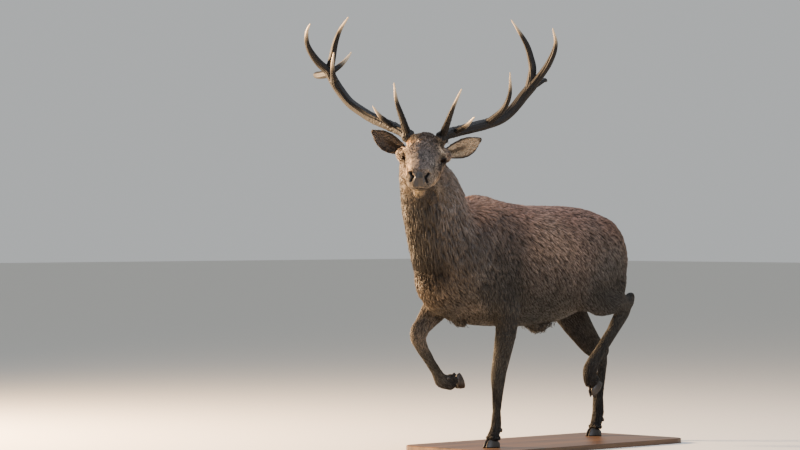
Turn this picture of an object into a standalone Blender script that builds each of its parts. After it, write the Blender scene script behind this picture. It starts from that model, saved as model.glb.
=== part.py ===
"""A red deer stag in winter coat, life size: a still model of the kind that a museum shows.

It trots with its head turned to its left. Two hooves are planted, so a flat base carries it.
The body is modelled whole, out to the tips of its coat, and then parted by thin cuts into
head, neck, trunk, tail and legs. Antlers, ears, eyes, claws and base are pieces of their own.

+X is the stag's left, -Y is the way it walks and +Z is up, in metres. The origin lies on the
underside of the base. Heights in the tables below are above the hooves' ground.
"""

import math

import bmesh
import bpy
import numpy as np
from mathutils import Matrix, Vector

# Base, and the gap that parts every two pieces
BASE_WIDTH, BASE_LENGTH, BASE_THICK = 0.62, 1.34, 0.024
BASE_MIDDLE_Y = 0.22
BASE_CORNER, BASE_EDGE = 0.07, 0.004
GAP = 0.0003
GROWTH = 1.5
GROUND = BASE_THICK + GAP

# Fineness of the meshes
VOXEL = 0.007
FLESH_TRIANGLES = 3600
TRUNK_SIDES, NECK_SIDES, HEAD_SIDES, LEG_SIDES, TAIL_SIDES = 40, 36, 36, 20, 8
BODY_STEPS, TAIL_STEPS = 4, 2
MERGE = 0.00002
SHARP_ANGLE = 40

# How freely the masses of flesh melt together, and where the three kinds begin
MELT_ROUNDS = 14
MELT_BODY, MELT_HEAD, MELT_LEG = 0.9, 0.12, 0.05
HEAD_ABOVE, HEAD_BEFORE = 1.19, -0.5
LEG_BELOW = 0.52
FORE_BELOW, FORE_BEFORE = 0.64, -0.42
HIND_BELOW, HIND_BEHIND = 0.70, 0.56

# Trunk sections: y, half width, top, widest level, bottom
TRUNK = [
    (-0.56, 0.070, 0.930, 0.82, 0.700),
    (-0.50, 0.125, 1.000, 0.84, 0.650),
    (-0.40, 0.165, 1.105, 0.85, 0.590),
    (-0.28, 0.190, 1.170, 0.85, 0.562),
    (-0.12, 0.207, 1.140, 0.84, 0.552),
    (0.06, 0.218, 1.121, 0.83, 0.550),
    (0.22, 0.218, 1.120, 0.83, 0.562),
    (0.36, 0.200, 1.117, 0.85, 0.600),
    (0.48, 0.178, 1.102, 0.87, 0.660),
    (0.58, 0.152, 1.072, 0.88, 0.720),
    (0.66, 0.123, 1.015, 0.88, 0.770),
    (0.71, 0.082, 0.960, 0.88, 0.820),
]

# Neck: x, y, z, half width, half depth
NECK = [
    (0.000, -0.37, 0.70, 0.145, 0.160),
    (0.000, -0.41, 0.80, 0.160, 0.182),
    (0.002, -0.448, 0.89, 0.152, 0.181),
    (0.002, -0.491, 0.98, 0.145, 0.181),
    (0.002, -0.530, 1.08, 0.134, 0.176),
    (0.002, -0.574, 1.18, 0.124, 0.162),
    (0.004, -0.616, 1.27, 0.101, 0.128),
    (0.018, -0.626, 1.34, 0.090, 0.108),
    (0.026, -0.626, 1.39, 0.068, 0.082),
]

# Head, in its own frame: the eye line crosses x = 0 at its origin, -Y is the nose.
HEAD_PLACE = Vector((0.105, -0.715, 1.322))
HEAD_YAW, HEAD_PITCH, HEAD_ROLL = 41.0, 9.0, 4.5
HEAD = [
    (0.150, 0.040, 0.045, 0.000, -0.050),
    (0.120, 0.066, 0.094, 0.000, -0.095),
    (0.075, 0.083, 0.119, 0.000, -0.128),
    (0.030, 0.090, 0.106, -0.005, -0.138),
    (-0.020, 0.091, 0.072, -0.012, -0.134),
    (-0.070, 0.076, 0.045, -0.028, -0.124),
    (-0.120, 0.061, 0.026, -0.042, -0.115),
    (-0.165, 0.055, 0.012, -0.052, -0.112),
    (-0.205, 0.058, 0.004, -0.060, -0.118),
    (-0.235, 0.055, -0.006, -0.062, -0.112),
    (-0.255, 0.042, -0.022, -0.062, -0.092),
    (-0.262, 0.022, -0.040, -0.062, -0.080),
]
EYE_AT, EYE_RADIUS = Vector((0.084, -0.001, 0.002)), 0.0185

# Legs: x, y, z, half width, half depth, from the body down to the coronet
LEGS = {
    "fore_left": [
        (0.130, -0.270, 0.76, 0.060, 0.110),
        (0.132, -0.203, 0.65, 0.057, 0.083),
        (0.128, -0.190, 0.56, 0.048, 0.059),
        (0.125, -0.209, 0.46, 0.041, 0.048),
        (0.118, -0.229, 0.36, 0.034, 0.040),
        (0.116, -0.235, 0.31, 0.032, 0.037),
        (0.114, -0.236, 0.25, 0.024, 0.029),
        (0.111, -0.239, 0.17, 0.019, 0.022),
        (0.110, -0.241, 0.12, 0.021, 0.026),
        (0.110, -0.243, 0.092, 0.023, 0.029),
        (0.110, -0.258, 0.058, 0.025, 0.029),
        (0.110, -0.268, 0.036, 0.029, 0.035),
    ],
    "fore_right": [
        (-0.130, -0.370, 0.80, 0.060, 0.110),
        (-0.132, -0.345, 0.735, 0.058, 0.095),
        (-0.130, -0.360, 0.681, 0.052, 0.080),
        (-0.125, -0.422, 0.623, 0.045, 0.066),
        (-0.117, -0.487, 0.570, 0.037, 0.046),
        (-0.111, -0.531, 0.520, 0.034, 0.045),
        (-0.108, -0.513, 0.467, 0.027, 0.032),
        (-0.102, -0.475, 0.412, 0.022, 0.026),
        (-0.095, -0.433, 0.355, 0.021, 0.025),
        (-0.091, -0.402, 0.309, 0.027, 0.036),
        (-0.089, -0.363, 0.297, 0.027, 0.034),
        (-0.088, -0.322, 0.292, 0.029, 0.035),
    ],
    "hind_right": [
        (-0.115, 0.470, 0.80, 0.080, 0.150),
        (-0.130, 0.482, 0.70, 0.068, 0.122),
        (-0.130, 0.533, 0.61, 0.056, 0.095),
        (-0.120, 0.602, 0.52, 0.045, 0.074),
        (-0.113, 0.661, 0.455, 0.036, 0.063),
        (-0.110, 0.712, 0.410, 0.032, 0.050),
        (-0.110, 0.731, 0.360, 0.029, 0.042),
        (-0.110, 0.728, 0.290, 0.025, 0.034),
        (-0.110, 0.717, 0.190, 0.023, 0.029),
        (-0.110, 0.717, 0.120, 0.025, 0.033),
        (-0.110, 0.712, 0.085, 0.026, 0.033),
        (-0.110, 0.698, 0.055, 0.025, 0.030),
        (-0.110, 0.688, 0.036, 0.029, 0.035),
    ],
    "hind_left": [
        (0.115, 0.450, 0.84, 0.080, 0.165),
        (0.135, 0.375, 0.745, 0.068, 0.110),
        (0.142, 0.385, 0.690, 0.056, 0.080),
        (0.136, 0.450, 0.668, 0.052, 0.082),
        (0.128, 0.535, 0.664, 0.042, 0.068),
        (0.122, 0.605, 0.656, 0.035, 0.054),
        (0.119, 0.643, 0.624, 0.031, 0.047),
        (0.114, 0.611, 0.570, 0.027, 0.041),
        (0.107, 0.551, 0.493, 0.024, 0.035),
        (0.097, 0.489, 0.414, 0.024, 0.034),
        (0.088, 0.441, 0.350, 0.029, 0.042),
        (0.084, 0.437, 0.306, 0.029, 0.041),
        (0.082, 0.454, 0.270, 0.030, 0.040),
    ],
}
# The point of each hock with the sinew below it: middle, radii, turn about X in degrees
HOCKS = {
    "hind_right": ((-0.110, 0.762, 0.425), (0.022, 0.028, 0.046), 8),
    "hind_left": ((0.120, 0.676, 0.654), (0.025, 0.031, 0.060), -31),
}

# Feet: the coronet's middle, and how far the foot is turned about X from flat on the ground.
# A claw's rings hold the share of its height, of its width and of its toe's length.
FEET = {
    "fore_left": ((0.110, -0.268, 0.040), 0.0),
    "fore_right": ((-0.088, -0.316, 0.292), 121.0),
    "hind_right": ((-0.110, 0.688, 0.040), 0.0),
    "hind_left": ((0.082, 0.457, 0.268), 51.0),
}
CLAW_TOE, CLAW_HEEL, CLAW_WIDTH = 0.056, 0.036, 0.028
CLAW_FRONT_HEIGHT, CLAW_HEEL_HEIGHT = 0.050, 0.030
CLAW_CLEFT = 0.0025
CLAW_SIDES = 10
CLAW_POINT = 0.55
CLAW_RINGS = ((0.0, 1.0, 1.0), (0.5, 0.92, 0.82), (1.0, 0.80, 0.55))
CORONET_AT = 0.040
DEWCLAW_AT, DEWCLAW_RADII, DEWCLAW_TURN = (0.016, 0.052, 0.078), (0.009, 0.013, 0.017), 30
SIDES = ((1, "left"), (-1, "right"))

# Muscle and hair masses that round the body out: centre, radii, turn about X in degrees
MASSES = {
    "breast": ((0.0, -0.440, 0.790), (0.150, 0.175, 0.190), 0),
    "brisket": ((0.0, -0.370, 0.640), (0.075, 0.110, 0.068), 0),
    "shoulder_left": ((0.118, -0.300, 0.860), (0.078, 0.130, 0.250), -14),
    "shoulder_right": ((-0.118, -0.335, 0.860), (0.078, 0.130, 0.240), 0),
    "haunch_left": ((0.103, 0.490, 0.870), (0.085, 0.180, 0.210), 18),
    "haunch_right": ((-0.103, 0.490, 0.860), (0.085, 0.180, 0.220), -8),
    "buttock_left": ((0.108, 0.592, 0.760), (0.056, 0.062, 0.105), 0),
    "buttock_right": ((-0.108, 0.588, 0.760), (0.056, 0.062, 0.105), 0),
    "stifle_left": ((0.140, 0.345, 0.700), (0.058, 0.085, 0.090), 0),
    "sheath": ((0.0, 0.165, 0.570), (0.036, 0.085, 0.034), 6),
    "tail_root": ((0.0, 0.650, 0.985), (0.050, 0.070, 0.060), 0),
}
# The same in the head's frame
HEAD_MASSES = {
    "brow_left": ((0.081, 0.008, 0.024), (0.023, 0.036, 0.020), 0),
    "brow_right": ((-0.081, 0.008, 0.024), (0.023, 0.036, 0.020), 0),
    "pedicle_left": ((0.066, 0.056, 0.080), (0.032, 0.034, 0.032), 0),
    "pedicle_right": ((-0.066, 0.056, 0.080), (0.032, 0.034, 0.032), 0),
    "ear_root_left": ((0.092, 0.080, 0.012), (0.034, 0.036, 0.038), 0),
    "ear_root_right": ((-0.099, 0.076, 0.004), (0.036, 0.038, 0.037), 0),
    "beard": ((0.0, -0.165, -0.128), (0.034, 0.048, 0.032), 0),
}

TAIL = [
    (0.0, 0.690, 0.985, 0.026, 0.022),
    (0.0, 0.728, 0.950, 0.030, 0.026),
    (0.0, 0.742, 0.895, 0.028, 0.024),
    (0.0, 0.744, 0.840, 0.014, 0.012),
]

# Ears, in the head's frame and for the left side: share of the length, half width, cup depth
EAR_BASE, EAR_TIP = Vector((0.098, 0.086, 0.022)), Vector((0.250, 0.112, 0.098))
EAR_THICK = 0.006
EAR_SAG = Vector((0.0, 0.0, -0.010))
EAR_BACK = Vector((-0.30, 0.95, 0.10))
EAR_OUTSIDE = (-1.0, -0.62, -0.2, 0.2, 0.62, 1.0)
EAR_INSIDE = (0.72, 0.25, -0.25, -0.72)
EAR = [
    (0.00, 0.022, 0.032),
    (0.14, 0.032, 0.032),
    (0.32, 0.042, 0.026),
    (0.52, 0.046, 0.019),
    (0.72, 0.039, 0.013),
    (0.88, 0.021, 0.009),
    (1.00, 0.006, 0.007),
]

# Antlers, in the head's frame. A beam is the points on its middle line and the radii at both
# ends. A tine starts inside its beam, at a share of the beam's length, and goes on through
# its own points, with the radii at root and tip.
BEAMS = {
    "antler_right": ([(-0.070, 0.054, 0.088), (-0.099, 0.070, 0.106), (-0.169, 0.118, 0.126),
                      (-0.248, 0.168, 0.146), (-0.310, 0.205, 0.171), (-0.372, 0.235, 0.207),
                      (-0.426, 0.250, 0.263), (-0.460, 0.250, 0.315), (-0.481, 0.246, 0.350)],
                     0.0250, 0.0225),
    "antler_left": ([(0.064, 0.054, 0.090), (0.090, 0.078, 0.110), (0.141, 0.120, 0.124),
                     (0.202, 0.160, 0.140), (0.265, 0.195, 0.157), (0.328, 0.225, 0.182),
                     (0.381, 0.245, 0.230), (0.425, 0.255, 0.294), (0.462, 0.252, 0.344)],
                    0.0250, 0.0240),
}
TINES = {
    "antler_right": {
        "brow": (0.05, [(-0.112, -0.010, 0.191), (-0.136, -0.052, 0.262), (-0.152, -0.065, 0.346)],
                 0.0170, 0.0035),
        "bez": (0.17, [(-0.208, 0.045, 0.172), (-0.244, -0.015, 0.226)], 0.0130, 0.0035),
        "trez": (0.82, [(-0.446, 0.190, 0.316), (-0.451, 0.150, 0.380), (-0.447, 0.130, 0.440)],
                 0.0150, 0.0035),
        "outer": (0.94, [(-0.531, 0.235, 0.384), (-0.573, 0.200, 0.452), (-0.578, 0.165, 0.520),
                         (-0.562, 0.140, 0.563)], 0.0185, 0.0035),
        "inner": (0.94, [(-0.461, 0.250, 0.412), (-0.452, 0.245, 0.471), (-0.434, 0.230, 0.531),
                         (-0.396, 0.205, 0.598)], 0.0185, 0.0035),
        "third": (0.93, [(-0.412, 0.290, 0.379), (-0.380, 0.325, 0.427)], 0.0135, 0.0035),
        "rear": (0.93, [(-0.514, 0.300, 0.312), (-0.540, 0.352, 0.304)], 0.0195, 0.0155),
    },
    "antler_left": {
        "brow": (0.05, [(0.099, -0.010, 0.183), (0.122, -0.052, 0.258), (0.153, -0.065, 0.341)],
                 0.0170, 0.0035),
        "bez": (0.17, [(0.175, 0.045, 0.157), (0.218, -0.015, 0.213)], 0.0130, 0.0035),
        "trez": (0.51, [(0.335, 0.150, 0.230), (0.364, 0.098, 0.312), (0.360, 0.060, 0.418)],
                 0.0160, 0.0035),
        "outer": (0.94, [(0.498, 0.240, 0.398), (0.533, 0.216, 0.466), (0.554, 0.180, 0.546),
                         (0.535, 0.140, 0.623)], 0.0200, 0.0035),
        "inner": (0.94, [(0.455, 0.264, 0.406), (0.444, 0.265, 0.463), (0.415, 0.255, 0.536),
                         (0.344, 0.215, 0.639)], 0.0200, 0.0035),
        "rear": (0.95, [(0.506, 0.310, 0.361), (0.519, 0.360, 0.357)], 0.0145, 0.0070),
    },
}
BURR_RADIUS, BURR_LENGTH = 0.033, 0.016
BEAM_SIDES, TINE_SIDES, ANTLER_STEPS = 8, 6, 2
TINE_TAPER = 1.5
ANTLER_SEAM = Vector((0.1, 0.3, 1.0))

# Blocks of space that part the body: middle, size, turn about X in degrees.
# The first two are cut off in this order, the head in its own frame.
HEAD_BLOCK = ((0.0, -0.135, 0.010), (0.60, 0.50, 0.36), 0)
NECK_BLOCK = ((0.0, -0.630, 1.150), (0.60, 0.64, 0.90), 46)
LEG_BLOCKS = {
    "fore_left": ((0.190, -0.220, 0.325), (0.25, 0.30, 0.72), 0),
    "fore_right": ((-0.180, -0.480, 0.400), (0.26, 0.54, 0.52), -20),
    "hind_right": ((-0.162, 0.560, 0.370), (0.30, 0.56, 0.86), -10),
    "hind_left": ((0.162, 0.500, 0.450), (0.30, 0.62, 0.68), 10),
}
SHANK_BLOCKS = {
    "fore_left": ((0.120, -0.250, 0.135), (0.20, 0.30, 0.40), 0),
    "fore_right": ((-0.110, -0.393, 0.310), (0.20, 0.30, 0.42), 31),
    "hind_right": ((-0.110, 0.720, 0.190), (0.20, 0.28, 0.40), 0),
    "hind_left": ((0.100, 0.486, 0.332), (0.20, 0.19, 0.42), -27),
}
BELOW_CORONET = (0.12, 0.16, 0.08)

COLOURS = {
    "coat": ("3A2C22", 0.85),
    "mane": ("2E241C", 0.90),
    "horn": ("4A3626", 0.55),
    "claw": ("1B1714", 0.45),
    "eye": ("0D0806", 0.08),
    "base": ("3B2A1C", 0.40),
}


def material(name):
    """A plain material of the named finish, made once."""
    made = bpy.data.materials.get(name)
    if made:
        return made
    made = bpy.data.materials.new(name)
    made.use_nodes = True
    shader = made.node_tree.nodes["Principled BSDF"]
    code, roughness = COLOURS[name]
    channels = [int(code[i:i + 2], 16) / 255 for i in (0, 2, 4)]
    linear = [c / 12.92 if c <= 0.04045 else ((c + 0.055) / 1.055) ** 2.4 for c in channels]
    shader.inputs["Base Color"].default_value = (*linear, 1.0)
    shader.inputs["Roughness"].default_value = roughness
    shader.inputs["Metallic"].default_value = 0.0
    return made


def head_matrix():
    """The head's frame in the stag's, above the hooves' ground."""
    yaw = Matrix.Rotation(math.radians(HEAD_YAW), 4, "Z")
    pitch = Matrix.Rotation(math.radians(HEAD_PITCH), 4, "X")
    roll = Matrix.Rotation(math.radians(HEAD_ROLL), 4, "Y")
    return Matrix.Translation(HEAD_PLACE) @ yaw @ pitch @ roll


def smooth_run(rows, steps):
    """A Catmull-Rom run through rows of numbers, with steps rows to each stretch."""
    rows = np.array(rows, float)
    ends = np.vstack([2 * rows[0] - rows[1], rows, 2 * rows[-1] - rows[-2]])
    run = []
    for before, start, end, after in zip(ends, ends[1:], ends[2:], ends[3:]):
        for t in np.arange(steps) / steps:
            linear = (end - before) * t
            square = (2 * before - 5 * start + 4 * end - after) * t ** 2
            cube = (3 * start - before - 3 * end + after) * t ** 3
            run.append(0.5 * (2 * start + linear + square + cube))
    run.append(rows[-1])
    return np.array(run)


def skin_over(rings):
    """A closed mesh of triangles over rings of points, with a cap on each end ring.

    Every quad is split the same way, so that a grown copy follows the piece itself."""
    bm = bmesh.new()
    rows = [[bm.verts.new(point) for point in ring] for ring in rings]
    count = len(rows[0])
    for low, high in zip(rows, rows[1:]):
        for i in range(count):
            j = (i + 1) % count
            bm.faces.new((low[i], low[j], high[j], high[i]))
    bm.faces.new(rows[0])
    bm.faces.new(rows[-1])
    bmesh.ops.triangulate(bm, faces=bm.faces, quad_method="FIXED")
    bmesh.ops.recalc_face_normals(bm, faces=bm.faces)
    return bm


def tube(rows, sides, side=Vector((1, 0, 0))):
    """A closed tube along rows of x, y, z, half width towards side, and half depth."""
    centres = [Vector(row[:3]) for row in rows]
    rings = []
    for i, row in enumerate(rows):
        along = (centres[min(i + 1, len(rows) - 1)] - centres[max(i - 1, 0)]).normalized()
        side = (side - along * side.dot(along)).normalized()
        depth = along.cross(side)
        ring = []
        for k in range(sides):
            turn = 2 * math.pi * k / sides
            across, through = row[3] * math.cos(turn), row[4] * math.sin(turn)
            ring.append(centres[i] + side * across + depth * through)
        rings.append(ring)
    return skin_over(rings)


def barrel(rows, sides, fullness=2.2):
    """A closed barrel along Y through rows of y, half width, top, widest level and bottom.

    Its fullness is 2 for an ellipse, and more for a squarer section."""
    rings = []
    for y, half, top, wide, bottom in rows:
        ring = []
        for k in range(sides):
            turn = 2 * math.pi * k / sides
            c, s = math.cos(turn), math.sin(turn)
            reach = (abs(c) ** fullness + abs(s) ** fullness) ** (-1 / fullness)
            rise = (top - wide) if s > 0 else (wide - bottom)
            ring.append(Vector((half * reach * c, y, wide + rise * reach * s)))
        rings.append(ring)
    return skin_over(rings)


def ball(centre, radii, turn=0.0, fineness=3):
    """An ellipsoid, turned about X."""
    bm = bmesh.new()
    bmesh.ops.create_icosphere(bm, subdivisions=fineness, radius=1.0)
    place = Matrix.Translation(centre) @ Matrix.Rotation(math.radians(turn), 4, "X")
    bm.transform(place @ Matrix.Diagonal((*radii, 1.0)))
    return bm


def block(centre, size, turn=0.0, grow=0.0):
    """A box, turned about X, with every face moved out by grow."""
    bm = bmesh.new()
    bmesh.ops.create_cube(bm, size=1.0)
    grown = [value + 2 * grow for value in size]
    place = Matrix.Translation(centre) @ Matrix.Rotation(math.radians(turn), 4, "X")
    bm.transform(place @ Matrix.Diagonal((*grown, 1.0)))
    return bm


def grown(bm):
    """The same piece with every face moved out by some gaps."""
    bm.normal_update()
    moves = [(v, v.normal * v.calc_shell_factor() * GAP * GROWTH) for v in bm.verts]
    for vert, move in moves:
        vert.co += move
    return bm


def as_object(bm, name):
    """A linked object that takes over the mesh being edited."""
    mesh = bpy.data.meshes.new(name)
    bm.to_mesh(mesh)
    bm.free()
    made = bpy.data.objects.new(name, mesh)
    bpy.context.collection.objects.link(made)
    return made


def evaluated(item):
    """The object's mesh with its modifiers applied, and the object itself removed."""
    bpy.context.view_layer.update()
    result = bmesh.new()
    result.from_object(item, bpy.context.evaluated_depsgraph_get())
    bpy.data.objects.remove(item)
    return result


def joined(parts):
    """One mesh that holds all the given meshes."""
    whole = bmesh.new()
    for part in parts:
        carrier = bpy.data.meshes.new("carrier")
        part.to_mesh(carrier)
        part.free()
        whole.from_mesh(carrier)
        bpy.data.meshes.remove(carrier)
    return whole


def largest_body(bm):
    """The mesh without the crumbs that a cut leaves beside its largest body."""
    left, bodies = set(bm.faces), []
    while left:
        waiting = [left.pop()]
        body = list(waiting)
        while waiting:
            for edge in waiting.pop().edges:
                linked = [f for f in edge.link_faces if f in left]
                left.difference_update(linked)
                waiting += linked
                body += linked
        bodies.append(body)
    bodies.sort(key=len)
    crumbs = [f for body in bodies[:-1] for f in body]
    bmesh.ops.delete(bm, geom=crumbs, context="FACES")
    return bm


def boolean(bm, cutter, operation):
    """The mesh after a Boolean with the cutter, tidied of doubled points."""
    body, tool = as_object(bm, "body"), as_object(cutter, "tool")
    step = body.modifiers.new("cut", "BOOLEAN")
    step.object = tool
    step.operation = operation
    step.solver = "EXACT"
    result = evaluated(body)
    bpy.data.objects.remove(tool)
    bmesh.ops.remove_doubles(result, verts=result.verts, dist=MERGE)
    bmesh.ops.dissolve_degenerate(result, edges=result.edges, dist=MERGE)
    return result


def parted(bm, centre, size, turn=0.0, frame=Matrix()):
    """What lies outside a block of space and what lies inside it, with the gap between them."""
    inner, outer = block(centre, size, turn), block(centre, size, turn, GAP)
    inner.transform(frame)
    outer.transform(frame)
    return boolean(bm.copy(), outer, "DIFFERENCE"), boolean(bm, inner, "INTERSECT")


def relaxed(bm, rounds, weight_of):
    """Smooths a mesh, each point by its own weight, without shrinking its thin parts."""
    places = np.array([v.co for v in bm.verts])
    bm.verts.index_update()
    pairs = np.array([(e.verts[0].index, e.verts[1].index) for e in bm.edges])
    counts = np.bincount(pairs.ravel(), minlength=len(places))[:, None]
    weights = np.array([weight_of(v.co) for v in bm.verts])[:, None]
    for turn in range(2 * rounds):
        total = np.zeros_like(places)
        np.add.at(total, pairs[:, 0], places[pairs[:, 1]])
        np.add.at(total, pairs[:, 1], places[pairs[:, 0]])
        pull = 0.5 if turn % 2 == 0 else -0.5 * (1 - weights) - 0.02
        places += pull * (total / counts - places)
    for vert, place in zip(bm.verts, places):
        vert.co = place
    return bm


def blend_weight(place):
    """How freely flesh melts together: strongly on the body, little on legs and head."""
    if place.z > HEAD_ABOVE and place.y < HEAD_BEFORE:
        return MELT_HEAD
    fore = place.z < FORE_BELOW and place.y < FORE_BEFORE
    hind = place.z < HIND_BELOW and place.y > HIND_BEHIND
    if place.z < LEG_BELOW or fore or hind:
        return MELT_LEG
    return MELT_BODY


def flesh():
    """The whole body of flesh and coat as one mesh."""
    head = head_matrix()
    parts = [barrel(smooth_run(TRUNK, BODY_STEPS), TRUNK_SIDES)]
    parts.append(tube(smooth_run(NECK, BODY_STEPS), NECK_SIDES))
    skull = barrel(smooth_run(HEAD, BODY_STEPS), HEAD_SIDES)
    skull.transform(head)
    parts.append(skull)
    for centre, radii, turn in MASSES.values():
        parts.append(ball(centre, radii, turn))
    for centre, radii, turn in HEAD_MASSES.values():
        mass = ball(centre, radii, turn)
        mass.transform(head)
        parts.append(mass)
    for rows in LEGS.values():
        parts.append(tube(smooth_run(rows, BODY_STEPS), LEG_SIDES))
    for centre, radii, turn in HOCKS.values():
        parts.append(ball(centre, radii, turn))
    body = as_object(joined(parts), "body")
    remesh = body.modifiers.new("one skin", "REMESH")
    remesh.mode = "VOXEL"
    remesh.voxel_size = VOXEL
    body = as_object(relaxed(evaluated(body), MELT_ROUNDS, blend_weight), "body")
    whole = 2 * len(body.data.polygons)
    thin = body.modifiers.new("fewer faces", "DECIMATE")
    thin.ratio = FLESH_TRIANGLES / whole
    return evaluated(body)


def ear(side):
    """A cupped ear, opening forwards, in the stag's frame."""
    mirror = Vector((side, 1, 1))
    base, tip = EAR_BASE * mirror, EAR_TIP * mirror
    along = (tip - base).normalized()
    back = EAR_BACK * mirror
    back = (back - along * back.dot(along)).normalized()
    across = along.cross(back)
    rings = []
    for share, half, depth in EAR:
        middle = base + (tip - base) * share + EAR_SAG * math.sin(math.pi * share)
        ring = []
        for u in EAR_OUTSIDE:
            ring.append(middle + across * half * u + back * depth * (1 - u * u))
        for u in EAR_INSIDE:
            ring.append(middle + across * half * u + back * (depth * (1 - u * u) - EAR_THICK))
        rings.append(ring)
    made = skin_over(rings)
    made.transform(head_matrix())
    return made


def foot_matrix(leg):
    """The foot's frame: sole at z = 0, toes towards -Y, coronet above its origin."""
    place, turn = FEET[leg]
    turned = Matrix.Rotation(math.radians(turn), 4, "X")
    return Matrix.Translation(place) @ turned @ Matrix.Translation((0, 0, -CORONET_AT))


def coronet_height(y):
    """Height above the sole of the line where claw meets skin, higher in front."""
    share = (y + CLAW_TOE) / (CLAW_TOE + CLAW_HEEL)
    return CLAW_FRONT_HEIGHT + (CLAW_HEEL_HEIGHT - CLAW_FRONT_HEIGHT) * share


def claw(leg, side):
    """One of a foot's two claws: flat sole, upright inner wall, toe drawn to a point."""
    rings = []
    for level, spread, reach in CLAW_RINGS:
        toe = CLAW_TOE * reach
        middle, half = (CLAW_HEEL - toe) / 2, (CLAW_HEEL + toe) / 2
        ring = []
        for k in range(CLAW_SIDES):
            turn = 2 * math.pi * k / CLAW_SIDES
            y = middle + half * math.sin(turn)
            narrow = 1 - CLAW_POINT * max(0.0, -math.sin(turn)) ** 2
            bulge = max(0.0, 0.5 + 0.5 * math.cos(turn)) ** 0.8
            x = CLAW_CLEFT / 2 + bulge * CLAW_WIDTH * spread * narrow
            ring.append(Vector((side * x, y, level * (coronet_height(y) - GAP))))
        rings.append(ring)
    made = skin_over(rings)
    made.transform(foot_matrix(leg))
    return made


def dewclaw(leg, side):
    """One of the two small claws that hang behind the fetlock."""
    x, y, z = DEWCLAW_AT
    made = ball((side * x, y, z), DEWCLAW_RADII, DEWCLAW_TURN, 1)
    made.transform(foot_matrix(leg))
    return made


def eye(side):
    """An eyeball."""
    centre = Vector((side * EYE_AT.x, EYE_AT.y, EYE_AT.z))
    made = ball(centre, [EYE_RADIUS] * 3, 0, 2)
    made.transform(head_matrix())
    return made


def beam(antler):
    """An antler's beam, a tube that swells into the burr at its root."""
    points, root, end = BEAMS[antler]
    run = smooth_run(points, ANTLER_STEPS)
    along = np.cumsum(np.r_[0, np.linalg.norm(np.diff(run, axis=0), axis=1)])
    radii = root + (end - root) * along / along[-1]
    radii += (BURR_RADIUS - root) * np.exp(-(along / BURR_LENGTH) ** 2)
    return antler_tube(run, radii, BEAM_SIDES)


def tine(antler, name):
    """A tine, a tube from inside its beam that tapers faster towards the tip."""
    share, points, root, tip = TINES[antler][name]
    beam_run = smooth_run(BEAMS[antler][0], ANTLER_STEPS)
    start = beam_run[round(share * (len(beam_run) - 1))]
    run = smooth_run([tuple(start), *points], ANTLER_STEPS)
    radii = root + (tip - root) * np.linspace(0, 1, len(run)) ** TINE_TAPER
    return antler_tube(run, radii, TINE_SIDES)


def antler_tube(run, radii, sides):
    """A round tube along a run of points in the head's frame, put in the stag's."""
    rows = [(*point, radius, radius) for point, radius in zip(run, radii)]
    made = tube(rows, sides, ANTLER_SEAM)
    made.transform(head_matrix())
    return made


def tail():
    """The short hanging tail."""
    return tube(smooth_run(TAIL, TAIL_STEPS), TAIL_SIDES)


def stand_base():
    """A flat plate with round corners and a broken edge, whose top is the hooves' ground."""
    bm = bmesh.new()
    bmesh.ops.create_cube(bm, size=1.0)
    place = Matrix.Translation((0, BASE_MIDDLE_Y, BASE_THICK / 2 - GROUND))
    bm.transform(place @ Matrix.Diagonal((BASE_WIDTH, BASE_LENGTH, BASE_THICK, 1)))
    upright = [e for e in bm.edges if abs(e.verts[0].co.z - e.verts[1].co.z) > BASE_THICK / 2]
    bmesh.ops.bevel(bm, geom=upright, offset=BASE_CORNER, segments=4, profile=0.5, affect="EDGES")
    top = max(v.co.z for v in bm.verts)
    rim = [e for e in bm.edges if all(abs(v.co.z - top) < 0.0001 for v in e.verts)]
    bmesh.ops.bevel(bm, geom=rim, offset=BASE_EDGE, segments=1, profile=0.5, affect="EDGES")
    return bm


def place(bm, name, finish):
    """A finished piece: lifted onto the base, named and given its material."""
    bm.transform(Matrix.Translation((0, 0, GROUND)))
    made = as_object(bm, name)
    made.data.materials.append(material(finish))
    made.data.shade_smooth()
    made.data.set_sharp_from_angle(angle=math.radians(SHARP_ANGLE))
    return made


def place_antlers():
    """Beams, then each tine cut free of its beam and of the tines before it."""
    for antler, tines in TINES.items():
        place(beam(antler), f"{antler}_beam", "horn")
        for i, name in enumerate(tines):
            made = boolean(tine(antler, name), grown(beam(antler)), "DIFFERENCE")
            for other in list(tines)[:i]:
                made = boolean(made, grown(tine(antler, other)), "DIFFERENCE")
            place(largest_body(made), f"{antler}_{name}", "horn")


def place_leg(limb, leg):
    """A leg in two lengths, ending at the coronet, with its claws."""
    upper, lower = parted(limb, *SHANK_BLOCKS[leg])
    foot = foot_matrix(leg)
    slope = math.atan2(CLAW_FRONT_HEIGHT - CLAW_HEEL_HEIGHT, CLAW_TOE + CLAW_HEEL)
    sole = foot @ Matrix.Translation((0, 0, coronet_height(0))) @ Matrix.Rotation(-slope, 4, "X")
    width, length, height = BELOW_CORONET
    lower, spare = parted(lower, (0, 0, -height / 2), (width, length, height), 0, sole)
    spare.free()
    place(upper, f"leg_{leg}_upper", "coat")
    place(lower, f"leg_{leg}_lower", "coat")
    for side, where in SIDES:
        place(claw(leg, side), f"claw_{leg}_{where}", "claw")
        place(dewclaw(leg, side), f"dewclaw_{leg}_{where}", "claw")


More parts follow.
